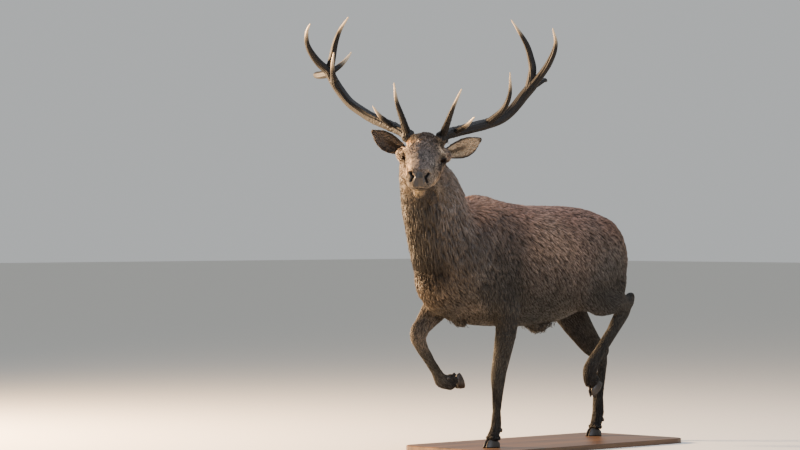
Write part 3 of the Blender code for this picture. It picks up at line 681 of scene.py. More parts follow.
# the same on the head, in the head's frame and in mm
HEAD_LIE = [
    ((0, -215, 5), (0, 0.95, 0.25), 4.5, 1.3, 1.8, 0.045),
    ((0, -120, 28), (0, 0.95, 0.25), 6, 1.5, 2.0, 0.050),
    ((0, -40, 58), (0, 0.92, 0.35), 9, 1.8, 3.0, 0.045),
    ((0, 25, 94), (0, 0.55, 0.50), 20, 2.6, 8.0, 0.035),
    ((0, 70, 112), (0, 0.55, 0.20), 24, 2.8, 10.0, 0.045),
    ((60, 60, 92), (0.3, 0.20, 0.60), 22, 2.6, 8.0, 0.032),
    ((0, 130, 80), (0, 0.85, -0.40), 26, 2.6, 9.0, 0.05),
    ((52, -190, -60), (0, 0.98, -0.10), 4, 1.2, 1.6, 0.04),
    ((40, -225, -84), (0.1, 0.90, -0.30), 4, 1.2, 1.5, 0.03),
    ((62, -110, -50), (0, 0.95, -0.30), 7, 1.6, 2.5, 0.05),
    ((85, -30, -50), (0, 0.80, -0.60), 10, 1.8, 3.0, 0.05),
    ((88, 40, -50), (0, 0.70, -0.75), 16, 2.2, 5.0, 0.05),
    ((82, 0, 34), (0.1, 0.90, 0.30), 7, 1.5, 2.0, 0.03),
    ((90, 70, 0), (0.6, 0.60, 0.10), 13, 2.0, 4.0, 0.035),
    ((60, 90, -100), (0, 0.45, -0.90), 32, 2.8, 10.0, 0.06),
    ((0, -215, -132), (0, 0.30, -0.95), 24, 1.9, 6.0, 0.028),
    ((0, -175, -148), (0, 0.15, -0.99), 52, 2.6, 12.0, 0.040),
    ((30, -100, -128), (0, 0.45, -0.90), 36, 2.4, 9.0, 0.05),
    ((0, 20, -138), (0, 0.40, -0.95), 36, 2.8, 11.0, 0.06),
]
# the same on each stretch of a leg, from top to bottom
LEG_LENGTH, LEG_DEPTH = (22, 18, 16, 15, 15, 15), (4.5, 2.6, 1.8, 1.8, 2.0, 2.6)
LEG_WIDTH, LEG_REACH = 2.1, 0.07


# %% Blend the signposts
def sides_of(place):
    """Both sides for a place off the middle plane on the left, and only its own for any other."""
    return (1, -1) if place[0] > 0 else (1,)


def leg_stretches():
    """Each stretch of the legs' middle lines: its number, its middle and its way down."""
    for line in LEG_LINES.values():
        for number, (high, low) in enumerate(zip(line, line[1:])):
            way = Vector(low) - Vector(high)
            yield number, (Vector(high) + Vector(low)) / 2 + Vector((0, 0, GROUND)), way.normalized()


def lie_signposts():
    """All signposts as rows: place, reach, way, length, width and depth."""
    rows = []
    for (x, y, z), way, length, width, depth, reach in BODY_LIE:
        for side in sides_of((x, y, z)):
            rows.append((side * x, y, z + GROUND, reach, side * way[0], way[1], way[2], length, width, depth))
    for number, place, way in leg_stretches():
        rows.append((*place, LEG_REACH, *way, LEG_LENGTH[number], LEG_WIDTH, LEG_DEPTH[number]))
    for place, way, length, width, depth, reach in HEAD_LIE:
        for side in sides_of(place):
            mirror = np.array([side, 1, 1])
            there = out_of_head(np.array(place) * mirror / 1000)
            rows.append((*there, reach, *(head_axes @ (np.array(way) * mirror)), length, width, depth))
    return np.array(rows)


def blend(points, rows):
    """The rows' values at each point, where near rows of place, reach and values count most."""
    total, weight = np.zeros((len(points), rows.shape[1] - 4)), np.zeros((len(points), 1))
    for row in rows:
        distance = np.linalg.norm(points - row[:3], axis=1)
        share = np.exp(-(distance / row[3]) ** 2) / row[3] + 1e-4 / (0.02 + distance ** 4)
        total += share[:, None] * row[4:]
        weight += share[:, None]
    return total / weight


def coat_at(points):
    """Way, length, width and depth of the coat at each point, in metres."""
    found = blend(points, SIGNPOSTS)
    return unit(found[:, :3]), found[:, 3] / 1000, found[:, 4] / 1000, found[:, 5] / 1000


SIGNPOSTS = lie_signposts()
print("signposts:", len(SIGNPOSTS))

# %% Lay the skin inside the solids by the coat's depth
EAR_COAT, CORONET_SWELLS, CORONET_HIGH = 0.001, 0.0016, 0.007
points = points_of(skin)
_, _, _, depth = coat_at(points)
depth *= 1 - lid_rim
depth *= smooth_step(eye_distance(points), EYE_RADIUS + 0.001, EYE_RADIUS + 0.018)
depth = np.where(foot_height(points) < CORONET_HIGH, -CORONET_SWELLS, depth)
depth = np.where(is_ear, EAR_COAT, depth)
move_points(skin, points - normals_of(skin) * depth[:, None])
print("coat depth in mm:", round(depth.min() * 1000, 1), "to", round(depth.max() * 1000, 1))

# %% [markdown]
# ## Markings
#
# In winter the stag is brown-grey: reddish along the back, darker and greyer on the flanks,
# nearly black below and on the legs, with a dark mane that goes tan at its tips. The face is
# paler at the cheeks and over the eyes, dark down the forehead and on the bare nose. Painted
# light makes the right cheek, the right antler's base and the left ear's inside paler, and
# painted shade darkens the right ear's inside, the hollow at each ear's root and the hollow
# behind each eye. The same patches colour the skin and every tuft, so both agree.

# %% Patches of colour
# place, reach in metres, colour: blended like the signposts
BODY_COLOURS = [
    ((0.03, -0.30, 1.16), 0.11, "785D4D"),
    ((0.00, -0.27, 1.21), 0.04, "38302A"),
    ((0.05, -0.05, 1.14), 0.13, "7E6153"),
    ((0.05, 0.25, 1.13), 0.13, "826456"),
    ((0.05, 0.52, 1.09), 0.12, "6E5347"),
    ((0.10, 0.66, 0.98), 0.10, "4E443C"),
    ((0.03, 0.71, 0.90), 0.07, "54473B"),
    ((0.20, -0.25, 1.00), 0.12, "443E3B"),
    ((0.21, 0.05, 0.98), 0.12, "7E6C5F"),
    ((0.20, 0.35, 0.98), 0.12, "5C5049"),
    ((0.21, 0.05, 0.82), 0.12, "504A46"),
    ((0.19, 0.45, 0.85), 0.12, "504D4A"),
    ((0.18, 0.05, 0.66), 0.11, "363633"),
    ((0.17, 0.50, 0.72), 0.10, "30302F"),
    ((0.02, 0.05, 0.56), 0.12, "353531"),
    ((0.00, 0.15, 0.55), 0.050, "141211"),
    ((0.00, -0.38, 0.59), 0.030, "1C1916"),
    ((0.125, -0.45, 0.60), 0.06, "6C6259"),
    ((0.113, -0.51, 0.52), 0.05, "746A60"),
    ((0.095, -0.42, 0.34), 0.05, "4E4A43"),
    ((0.118, 0.640, 0.62), 0.06, "262727"),
    ((0.19, -0.30, 0.82), 0.10, "383634"),
    ((0.16, -0.26, 0.68), 0.09, "333230"),
    ((0.04, -0.45, 0.64), 0.10, "37342F"),
    ((0.13, -0.52, 1.10), 0.11, "4A4542"),
    ((0.12, -0.44, 0.95), 0.11, "312F2E"),
    ((0.02, -0.50, 1.30), 0.10, "524B46"),
    ((0.03, -0.74, 1.16), 0.09, "282623"),
    ((0.10, -0.68, 1.12), 0.08, "3A342E"),
    ((0.03, -0.70, 1.00), 0.10, "262421"),
    ((0.05, -0.62, 0.88), 0.07, "1A1816"),
    ((0.02, -0.60, 0.80), 0.06, "1A140F"),
    ((0.12, -0.52, 0.80), 0.08, "3A332C"),
    ((0.04, -0.56, 0.72), 0.07, "463C31"),
]
LEG_COLOURS = ("33322F", "363431", "383632", "33322F", "302F2C", "282726")
# on the head, in mm of the head's frame
HEAD_COLOURS = [
    ((0, -225, -2), 0.020, "6A5F57"),
    ((0, -180, 16), 0.035, "6C6058"),
    ((0, -110, 34), 0.036, "5A524C"),
    ((0, -40, 60), 0.034, "574D48"),
    ((34, -24, 56), 0.026, "60544A"),
    ((0, 0, 70), 0.016, "6C5E53"),
    ((0, 34, 96), 0.036, "3C2F25"),
    ((0, 90, 112), 0.045, "33281F"),
    # painted light: the right antler's base is painted pale tan, as if lit from the left; the left one's
    # patch below is darker
    ((-74, 34, 78), 0.024, "C8A070"),
    ((72, 42, 84), 0.020, "6A5A48"),
    # painted light: the right cheek is painted paler than the left, as if lit
    ((-62, -110, -45), 0.030, "B08E70"),
    ((80, 2, 34), 0.020, "B09C84"),
    # painted shade: the hollow behind each eye is painted dark
    ((90, 26, 2), 0.018, "342B25"),
    ((84, 24, 24), 0.014, "5A4C42"),
    ((84, -14, -22), 0.018, "8A7866"),
    ((66, -52, -22), 0.012, "3A322C"),
    ((52, -200, -62), 0.035, "80766A"),
    ((44, -232, -14), 0.016, "8C7A68"),
    ((62, -110, -50), 0.040, "736A60"),
    ((72, -50, -95), 0.026, "8C7A66"),
    ((82, -10, -80), 0.022, "A8967E"),
    ((84, 36, -120), 0.020, "8C7E6C"),
    ((84, 42, -175), 0.030, "494440"),
    ((84, -10, -60), 0.040, "6E6053"),
    ((88, 60, -40), 0.045, "5A4E43"),
    ((0, -222, -122), 0.015, "9C8A6A"),
    ((0, -208, -140), 0.016, "2E2923"),
    ((30, -215, -115), 0.020, "7C6C58"),
    ((0, -185, -150), 0.028, "2A2622"),
    ((0, -150, -150), 0.035, "24211E"),
    ((36, -120, -125), 0.040, "5C5142"),
    ((40, 50, -130), 0.045, "39332D"),
    ((0, 0, -205), 0.045, "242421"),
    ((36, 6, -240), 0.040, "2A2622"),
    ((92, 86, 14), 0.030, "70645A"),
]


# %% Blend the patches and mottle them
# how many lumps to the metre the mottling has along x, y and z
CLOUDS, STREAKS, FACE_CURLS = (11, 11, 11), (85, 62, 28), (190, 80, 80)


def colour_patches():
    """Every patch as a row: place, reach, linear colour."""
    rows = []
    for (x, y, z), reach, code in BODY_COLOURS:
        for side in (1, -1):
            rows.append((side * x, y, z + GROUND, reach, *linear(code)[:3]))
    for number, place, _ in leg_stretches():
        rows.append((*place, LEG_REACH, *linear(LEG_COLOURS[number])[:3]))
    for place, reach, code in HEAD_COLOURS:
        for side in sides_of(place):
            there = out_of_head(np.array(place) * np.array([side, 1, 1]) / 1000)
            rows.append((*there, reach, *linear(code)[:3]))
    return np.array(rows)


def lumps(points, density):
    """Soft noise at each point, from about -0.7 to 0.7."""
    x, y, z = density
    return np.array([noise.noise(Vector((p[0] * x, p[1] * y, p[2] * z))) for p in points])


def mottle(points):
    """Clouds a hand wide, streaks a finger wide that run down, and dark curls on the face."""
    local = in_head(points)
    curls = lumps(local, FACE_CURLS)
    curls *= smooth_step(local[:, 1], -0.20, -0.15) * (1 - smooth_step(local[:, 1], 0.10, 0.16))
    curls *= smooth_step(local[:, 2], -0.14, -0.06)
    mottled = 1 + 0.36 * lumps(points, CLOUDS) + 0.38 * lumps(points, STREAKS) + 1.3 * curls
    return np.maximum(mottled, 0.2)[:, None]


def markings(points):
    """The coat's linear colour at each point."""
    return blend(points, PATCHES) * mottle(points)


PATCHES = colour_patches()
print("patches of colour:", len(PATCHES))


# %% Colours of the ears and of bare skin
PAD_HEIGHTS = (-0.088, -0.078, -0.060, -0.044, -0.028, -0.018)
PAD_HALF_WIDTHS = (0.012, 0.022, 0.025, 0.017, 0.012, 0.002)
LIPS_AT, LIPS_HALF = -0.0985, 0.0060


def ear_colours(points, facts):
    """Brown-grey backs; inside, hair painted pale on the left ear as painted light and dark grey on the right
    as painted shade, around a hollow darkened as painted shade, and dark rims.
    """
    inside, along, over = facts[:, 0] > 1.5, facts[:, 1], np.abs(facts[:, 2])
    left = in_head(points)[:, :1] > 0
    # painted light and shade: the left ear's inside is painted pale as if lit, the right one's dark grey as
    # if in shade
    pale = np.where(left, linear("B09A7E")[:3], linear("5C534C")[:3])
    colour = np.where(inside[:, None], pale, linear("544A43")[:3])
    # painted shade: the inside is darkened towards the middle of its root, where the funnel's hollow lies
    hollow = 0.85 * inside * (1 - smooth_step(over, 0.15, 0.45)) * (1 - smooth_step(along, 0.40, 0.66))
    colour = colour + (linear("33291F")[:3] - colour) * hollow[:, None]
    rim = np.maximum(smooth_step(over, 0.80, 0.94), smooth_step(along, 0.84, 0.97))
    return colour + (linear("302822")[:3] - colour) * rim[:, None]


def bare_skin(points):
    """1 where no hair grows: the nose pad, the lips' edge and the nostrils."""
    local = in_head(points)
    side, back, up = np.abs(local[:, 0]), local[:, 1], local[:, 2]
    half = np.interp(up, PAD_HEIGHTS, PAD_HALF_WIDTHS)
    pad = smooth_step(-back, 0.228, 0.238) * (1 - smooth_step(side, half, half + 0.005))
    pad *= smooth_step(up, -0.090, -0.085) * (1 - smooth_step(up, -0.026, -0.016))
    lips = np.exp(-((up - LIPS_AT) / LIPS_HALF) ** 2) * smooth_step(-back, 0.150, 0.165)
    return np.clip(np.maximum.reduce([pad, lips, smooth_step(pit, 0.12, 0.30)]), 0, 1)


def bare_colours(points, lids):
    """Grey on the nose; nearly black along the lips and on the lids, and in the nostrils, where it is dark
    skin with painted shade of the deep pits.
    """
    up = in_head(points)[:, 2]
    colour = np.tile(linear("3A3837")[:3], (len(points), 1))
    # the nostril pits' near-black is partly dark skin and partly painted shade of their depth
    dark = np.maximum.reduce([smooth_step(pit, 0.30, 0.62), 1 - smooth_step(up, -0.096, -0.090), lids])
    return colour + (linear("0E0B0A")[:3] - colour) * dark[:, None]


# %% Store the markings on the skin
points = points_of(skin)
skin_colour = np.where(is_ear[:, None], ear_colours(points, ear_facts), markings(points))
skin_colour += (linear("221A15")[:3] - skin_colour) * 0.88 * eye_ring[:, None]
skin_bare = np.maximum(np.where(is_ear, 0, bare_skin(points)), lid_rim)
skin_colour += (bare_colours(points, lid_rim) - skin_colour) * skin_bare[:, None]
set_attribute(skin, "coat", np.c_[skin_colour, np.ones(len(points))], "FLOAT_COLOR")
set_attribute(skin, "bare", skin_bare * (1 - 0.7 * lid_rim))
print("bare skin points:", int((skin_bare > 0.5).sum()))

# %% [markdown]
# ## The skin's finish
#
# Between tufts one sees the dense underfur, darker than the tips and matt, and painted darker still
# as painted shade deep in the coat. The nose pad is wet black-grey skin with a fine pebbled grain,
# and lids and lips are dark leather.

# %% Skin material
hide, tree, shader = new_material("underfur in painted shade and bare nose leather")
coat = add(tree, "Attribute", attribute_name="coat")
bare = add(tree, "Attribute", attribute_name="bare")
where = add(tree, "TexCoord")
fuzz = add(tree, "TexNoise", {"Vector": where.outputs["Object"], "Scale": 260.0, "Detail": 3.0})
pebble = add(tree, "TexVoronoi", {"Vector": where.outputs["Object"], "Scale": 560.0})
# the hairy skin at 0.25 to 0.55 of the coat's colour: partly darker underfur, partly painted shade deep in
# the coat
underfur_with_painted_shade = add(tree, "MapRange", {"Value": fuzz.outputs["Fac"], "From Min": 0.3, "From Max": 0.7,
                             "To Min": 0.25, "To Max": 0.55})
leather = add(tree, "MapRange", {"Value": pebble.outputs["Distance"], "To Min": 0.70, "To Max": 1.15})
tone = add(tree, "Mix", {0: bare.outputs["Fac"], 2: underfur_with_painted_shade.outputs["Result"], 3: leather.outputs["Result"]},
           data_type="FLOAT")
surface = add(tree, "VectorMath", {0: coat.outputs["Color"], "Scale": tone.outputs[0]}, operation="SCALE")
rough = add(tree, "MapRange", {"Value": bare.outputs["Fac"], "To Min": 0.85, "To Max": 0.42})
height = add(tree, "Mix", {0: bare.outputs["Fac"], 2: fuzz.outputs["Fac"], 3: pebble.outputs["Distance"]},
             data_type="FLOAT")
bump = add(tree, "Bump", {"Height": height.outputs[0], "Strength": 0.5, "Distance": 0.0007})
plug(tree, shader, {"Base Color": surface.outputs["Vector"], "Roughness": rough.outputs["Result"],
                    "Normal": bump.outputs["Normal"], "Specular IOR Level": 0.28})
skin.data.materials.clear()
skin.data.materials.append(hide)
only_select(skin)
bpy.ops.object.shade_smooth()
print("skin finish:", len(tree.nodes), "nodes")

# %% Unwrap the skin, for its own bake and for the tufts' patches
only_select(skin)
bpy.ops.object.mode_set(mode="EDIT")
bpy.ops.mesh.select_all(action="SELECT")
bpy.ops.uv.smart_project(angle_limit=math.radians(66), island_margin=0.0005)
bpy.ops.object.mode_set(mode="OBJECT")
skin.data.uv_layers[0].name = "OFBake"
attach(skin, "root")
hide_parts(*FLESH, "ear_left", "ear_right")
print("skin unwrapped:", len(skin.data.uv_layers[0].data), "corners")

# %% [markdown]
# ## Tufts
#
# The coat is solid: each tuft is a tiny closed spindle, buried at its root, widest near the
# skin and drawn to a point, because hair stuck together by damp looks just like that. Roots are
# spread evenly over the skin's faces. Neighbouring tufts form a lock, longer than wide, whose
# tips lean towards its leading tuft, which gives the dark gaps and light ridges of a wet coat;
# tufts far from their leader are also painted darker, as painted shade in the gaps.
# Finally each tip is set at its height above the skin, so that the coat ends where the solids
# do. A little noise bends the hair of crown and face into curls.

# %% Where roots may be
HAIR_STOPS = 0.35

skin.data.calc_loop_triangles()
corner_points = read(skin.data.loop_triangles, "vertices", 3, int)
corner_loops = read(skin.data.loop_triangles, "loops", 3, int)
loop_uvs = read(skin.data.uv_layers[0].data, "uv", 2)
triangle_count = len(corner_points)
skin_points, skin_normals = points_of(skin), normals_of(skin)
triangle_points = skin_points[corner_points]
first_edges = triangle_points[:, 1] - triangle_points[:, 0]
second_edges = triangle_points[:, 2] - triangle_points[:, 0]
triangle_areas = np.linalg.norm(np.cross(first_edges, second_edges), axis=1) / 2
triangle_middles = triangle_points.mean(1)
triangle_ear = is_ear[corner_points].all(1)
point_facts = np.c_[skin_normals, skin_colour, ear_facts]
triangle_bare = skin_bare[corner_points].max(1)
skin_tree = BVHTree.FromObject(skin, bpy.context.evaluated_depsgraph_get())
print("skin area in square metres:", round(triangle_areas.sum(), 2))


def scatter(weights, count):
    """Even random roots on the triangles: place, patch on the unwrap, normal, colour, ear facts."""
    chance = triangle_areas * weights * (triangle_bare < HAIR_STOPS)
    steps = (np.arange(count) + random.random(count)) / count * chance.sum()
    picked = np.minimum(np.searchsorted(np.cumsum(chance), steps), triangle_count - 1)
    a, b = random.random((2, count))
    a, b = np.where(a + b > 1, 1 - a, a), np.where(a + b > 1, 1 - b, b)
    shares = np.c_[1 - a - b, a, b][:, :, None]
    place = (skin_points[corner_points[picked]] * shares).sum(1)
    facts = (point_facts[corner_points[picked]] * shares).sum(1)
    patch = (loop_uvs[corner_loops[picked]] * shares).sum(1)
    return place, patch, unit(facts[:, :3]), facts[:, 3:6], facts[:, 6:]


# %% Spindles and locks
LOCK_STRETCH, LEADERS_NEAR = 0.95, 6


def spindles(root, bends, tip, over, up, width, thick):
    """Closed spindles: a root point, one or two rings of three points, and a tip.

    Returns all points as one array and the triangles of one spindle."""
    columns = [root]
    for share, bend in bends:
        for k in range(3):
            turn = math.radians(90 + 120 * k)
            columns.append(bend + share * (over * width[:, None] * math.cos(turn)
                                           + up * thick[:, None] * math.sin(turn)))
    columns.append(tip)
    rings, last = len(bends), 3 * len(bends) + 1
    triangles = [(0, 1 + (k + 1) % 3, 1 + k) for k in range(3)]
    for ring in range(rings - 1):
        for k in range(3):
            a, b = 1 + 3 * ring + k, 1 + 3 * ring + (k + 1) % 3
            triangles += [(a, b, b + 3), (a, b + 3, a + 3)]
    top = 1 + 3 * (rings - 1)
    triangles += [(top + k, top + (k + 1) % 3, last) for k in range(3)]
    return np.stack(columns, 1), np.array(triangles)


def lifted(points, height):
    """The points set at a height above the skin nearest to them."""
    found = [skin_tree.find_nearest(Vector(p)) for p in points]
    base = np.array([f[0] for f in found])
    out = np.array([f[1] for f in found])
    return base + out * height[:, None]


def locks(root, way, clump):
    """Gathers tufts into locks that are longer than wide.

    For each tuft: its lock's leading tuft, and how far from it the tuft stands, from 0 to 1."""
    leaders = random.choice(len(root), max(len(root) // clump, LEADERS_NEAR), replace=False)
    finder = KDTree(len(leaders))
    for i, leader in enumerate(leaders):
        finder.insert(root[leader], i)
    finder.balance()
    near = np.array([[found[1] for found in finder.find_n(p, LEADERS_NEAR)] for p in root])
    apart = root[:, None] - root[leaders[near]]
    along = (apart * way[:, None]).sum(2)
    reach = np.sqrt((apart ** 2).sum(2) - LOCK_STRETCH * along ** 2)
    best = reach.argmin(1)
    rows = np.arange(len(root))
    reach = reach[rows, best]
    return leaders[near[rows, best]], np.clip(reach / np.quantile(reach, 0.9), 0, 1)


print("triangles where hair may grow:", int((triangle_bare < HAIR_STOPS).sum()))


# %% Lay the ears' hair and build a piece's mesh
INSIDE_HAIR, OUTSIDE_HAIR, EAR_HAIR_WIDTH = (0.015, 0.0040), (0.010, 0.0020), 0.0017
SPREAD_INSIDE = 0.45


def lay_ear_hair(root, ear, way, length, width, depth):
    """Turns the hair of the ears along them, and inside it also towards their rims."""
    for side, _ in BOTH_SIDES:
        along, _, over = ear_axes(side)
        mine = (ear[:, 0] > 0.5) & (in_head(root)[:, 0] * side > 0)
        inside = mine & (ear[:, 0] > 1.5)
        way[mine] = head_axes @ along
        way[inside] -= (head_axes @ over) * SPREAD_INSIDE * np.sign(ear[inside, 2:])
        length = np.where(inside, INSIDE_HAIR[0], np.where(mine, OUTSIDE_HAIR[0], length))
        width = np.where(mine, EAR_HAIR_WIDTH, width)
        depth = np.where(inside, INSIDE_HAIR[1], np.where(mine, OUTSIDE_HAIR[1], depth))
    return way, length, width, depth


def mesh_of(name, vertices, faces):
    """An object made of triangles, given as arrays."""
    mesh = bpy.data.meshes.new(name)
    mesh.vertices.add(len(vertices))
    mesh.vertices.foreach_set("co", vertices.astype(np.float32).ravel())
    mesh.loops.add(faces.size)
    mesh.loops.foreach_set("vertex_index", faces.ravel().astype(np.int32))
    mesh.polygons.add(len(faces))
    mesh.polygons.foreach_set("loop_start", np.arange(0, faces.size, 3, dtype=np.int32))
    mesh.polygons.foreach_set("loop_total", np.full(len(faces), 3, np.int32))
    mesh.update()
    made = bpy.data.objects.new(name, mesh)
    bpy.context.collection.objects.link(made)
    return made


print("hair in the ears: length and depth in metres", INSIDE_HAIR)


# %% Grow tufts
PATCH_HALF = 0.0015
CURLS_PER_METRE = 55
ROOT_DEPTH = 0.002
# how far each tuft's length, width and lean may differ from the coat's own
LENGTH_SPREAD, WIDTH_SPREAD, LEAN_SPREAD = (0.75, 1.2), (0.8, 1.25), (0.7, 1.1)
LOWEST, HOLLOW_BETWEEN_LOCKS, SHORT_BY_EYE = 0.55, 0.45, 0.30
# how much a tuft's own shade, its lock's and its place in the lock count, and their contrast; its place
# paints shade, darker in the gaps between locks
SHADE_OWN, SHADE_LOCK, GAP_PAINTED_SHADE, CONTRAST = 0.34, 0.36, 0.30, 1.45
# share of the length, share of the height and thickness of each ring of a tuft
ONE_RING = ((0.38, 0.75, 1.0),)
TWO_RINGS = ((0.25, 0.5, 1.0), (0.62, 0.9, 0.75))


def tuft_lie(root, normal, ear, rough, curl):
    """Way, length, width and depth of the hair at each root, laid along the skin."""
    way, length, width, depth = lay_ear_hair(root, ear, *coat_at(root))
    way = way + random.normal(0, rough, way.shape)
    if curl > 0:
        way += curl * np.array([noise.noise_vector(Vector(p) * CURLS_PER_METRE) for p in root])
    return unit(way - normal * (way * normal).sum(1, keepdims=True)), length, width, depth


def map_tufts(made, faces, patch, along, rings):
    """Gives each tuft a small patch of its own on the skin's unwrap, around its root."""
    sideways = np.array([0.0] + [-1, 0, 1] * rings + [0.0])
    offsets = np.stack([sideways * PATCH_HALF, (along * 2 - 1) * PATCH_HALF], 1)
    uv = (patch[:, None] + offsets[None]).reshape(-1, 2)
    layer = made.data.uv_layers.new(name="OFBake")
    layer.data.foreach_set("uv", uv[faces.ravel()].astype(np.float32).ravel())


def grow_coat(name, weights, count, rings=1, clump=7, lean=0.5, rough=0.16, curl=0.0, stand=1.0):
    """One piece of coat over the triangles that weights picks."""
    count = count
    root, patch, normal, colour, ear = scatter(weights, count)
    way, length, width, depth = tuft_lie(root, normal, ear, rough, curl)
    leader, apart = locks(root, way, clump)
    by_eye = smooth_step(eye_distance(root), EYE_RADIUS + 0.003, EYE_RADIUS + 0.024)
    length = length * random.uniform(*LENGTH_SPREAD, count) * (SHORT_BY_EYE + (1 - SHORT_BY_EYE) * by_eye)
    width = width * random.uniform(*WIDTH_SPREAD, count)
    height = stand * depth * random.uniform(LOWEST / stand, 1.0, count) * (1 - HOLLOW_BETWEEN_LOCKS * apart)
    tip = root + way * length[:, None] + normal * height[:, None]
    pull = (lean * random.uniform(*LEAN_SPREAD, count))[:, None]
    tip = lifted(tip * (1 - pull) + tip[leader] * pull, height)
    stray = np.linalg.norm(tip - root, axis=1) / (1.15 * length + height)
    tip = root + (tip - root) / np.maximum(stray, 1)[:, None]
    bends = [(fat, lifted(root + (tip - root) * share, height * rise))
             for share, rise, fat in (ONE_RING if rings == 1 else TWO_RINGS)]
    over = unit(np.cross(tip - root, normal))
    shape, triangles = spindles(root - normal * ROOT_DEPTH, bends, tip, over, normal, width / 2, width / 3.2)
    per = shape.shape[1]
    faces = (triangles[None] + (np.arange(count) * per)[:, None, None]).reshape(-1, 3)
    made = mesh_of(name, shape.reshape(-1, 3), faces)

    along = np.array([0.0] + [0.4] * 3 + [0.75] * 3 * (rings > 1) + [1.0])
    map_tufts(made, faces, patch, along, rings)

    shade = SHADE_OWN * random.random(count) + SHADE_LOCK * random.random(count)[leader]
    # painted shade: tufts far from their lock's leader are painted darker, in the gaps between locks
    shade += GAP_PAINTED_SHADE * (1 - apart)
    shade = np.clip(0.5 + CONTRAST * (shade - shade.mean()), 0, 1)
    set_attribute(made, "coat", np.c_[np.repeat(colour, per, 0), np.ones(count * per)], "FLOAT_COLOR")
    set_attribute(made, "along", np.tile(along, count))
    set_attribute(made, "strand", np.repeat(shade, per))
    made.data.shade_smooth()
    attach(made, "root")
    print(name, count, "tufts,", len(faces), "triangles")
    return made


print("patch of a tuft on the unwrap:", 2 * PATCH_HALF, "across")

# %% [markdown]
# ## The hair's finish
#
# Deer hair is a hollow, brittle fibre with a soft gloss. Each tuft is dark at its root, partly its
# own darker base and partly painted shade deep in the coat, takes the coat's colour along its
# length and is bleached at its tip, and no two are quite alike.

# %% Hair material
def hair_material(name, root_shade, tip_shade, roughness):
    """Hair darkened towards its root, as its own darker base and as painted shade deep in the coat, and
    bleached at its tip.
    """
    made, tree, shader = new_material(name)
    coat = add(tree, "Attribute", attribute_name="coat")
    along = add(tree, "Attribute", attribute_name="along")
    strand = add(tree, "Attribute", attribute_name="strand")
    # the darkening towards the root is partly the hair's own base and partly painted shade deep in the coat
    grade = add(tree, "MapRange", {"Value": along.outputs["Fac"], "To Min": root_shade, "To Max": tip_shade})
    vary = add(tree, "MapRange", {"Value": strand.outputs["Fac"], "To Min": 0.22, "To Max": 1.95})
    both = add(tree, "Math", {0: grade.outputs["Result"], 1: vary.outputs["Result"]}, operation="MULTIPLY")
    toned = add(tree, "VectorMath", {0: coat.outputs["Color"], "Scale": both.outputs["Value"]},
                operation="SCALE")
    plug(tree, shader, {"Base Color": toned.outputs["Vector"], "Roughness": roughness,
                        "Specular IOR Level": 0.3})
    return made


sleek_hair = hair_material("short sleek leg and face hair", 0.60, 1.25, 0.55)
short_hair = hair_material("damp winter body hair", 0.30, 1.65, 0.48)
mane_hair = hair_material("long mane hair with bleached tips", 0.25, 1.75, 0.48)
print("kinds of hair:", 3)

# %% Regions of the coat
local = in_head(triangle_middles)
y, z = triangle_middles[:, 1], triangle_middles[:, 2] - GROUND
on_left = triangle_middles[:, 0] > 0
on_head = (local[:, 1] < 0.12) & (local[:, 2] > -0.17) & (np.abs(local[:, 0]) < 0.15)
on_head = (on_head & (triangle_middles[:, 2] > 1.1)) | triangle_ear
on_legs = (z < 0.53) | ((z < 0.66) & (y < -0.43)) | ((z < 0.70) & (y > 0.57))
on_mane = ~on_head & ~on_legs & (y < -0.30 + 0.45 * (z - 1.0)) & (z > 0.70)
on_trunk = ~on_head & ~on_legs & ~on_mane
on_face = on_head & ~triangle_ear & (local[:, 1] < -0.02)
on_crown = on_head & ~triangle_ear & ~on_face
on_coronets = np.abs(foot_height(triangle_middles) - 0.008) < 0.008


def around(place, reach):
    """Weights for the skin's triangles near one place above the ground."""
    middle_point = np.array(place) + np.array([0, 0, GROUND])
    return np.exp(-(np.linalg.norm(triangle_middles - middle_point, axis=1) / reach) ** 2)


print("share of the skin under the mane:", round(triangle_areas[on_mane].sum() / triangle_areas.sum(), 2))

# %% Grow the coat piece by piece
curly = [
    grow_coat("coat_face", on_face, 32000, clump=6, lean=0.40, rough=0.28, curl=0.9),
    grow_coat("coat_crown", on_crown, 26000, clump=6, lean=0.5, rough=0.28, curl=2.0),
    grow_coat("coat_ears", triangle_ear, 14000, clump=5, lean=0.35, rough=0.12),
]
backs = [
    grow_coat("coat_back_left", on_trunk & on_left, 32000, clump=5, lean=0.5, rough=0.12),
    grow_coat("coat_back_right", on_trunk & ~on_left, 32000, clump=5, lean=0.5, rough=0.12),
]
legs = [
    grow_coat("coat_legs_left", on_legs & on_left, 21000, clump=6, lean=0.3, rough=0.10),
    grow_coat("coat_legs_right", on_legs & ~on_left, 21000, clump=6, lean=0.3, rough=0.10),
    grow_coat("coat_fringe", on_coronets, 5000, clump=5, lean=0.3, rough=0.12, stand=3.0),
]
manes = [
    grow_coat("tuft_belly", around((0, 0.15, 0.55), 0.052), 1400, rings=2, lean=0.70, stand=4.4),
    grow_coat("tuft_brisket", around((0, -0.38, 0.59), 0.024), 500, rings=2, lean=0.75, stand=3.6),
    grow_coat("mane_left", on_mane & on_left, 15700, rings=2, lean=0.62, rough=0.12),
    grow_coat("mane_right", on_mane & ~on_left, 15700, rings=2, lean=0.62, rough=0.12),
]
face_piece, crown_piece, ears_piece = curly
for pieces, hair in (([face_piece, ears_piece, *legs], sleek_hair), ([crown_piece, *backs], short_hair),
                     (manes, mane_hair)):
    for piece in pieces:
        piece.data.materials.append(hair)
print("coat:", sum(len(piece.data.polygons) for piece in curly + backs + legs + manes), "triangles")

# %% [markdown]
# ## Antlers
#
# An antler is bone that grew in one summer. Its surface is furrowed by the vessels that fed
# it, pearled near the burr, stained brown by bark and peat, and polished ivory at the tips.
# Beam and tines are curves with a thickness at each point, turned into meshes and melted
# together, so that each fork flows.

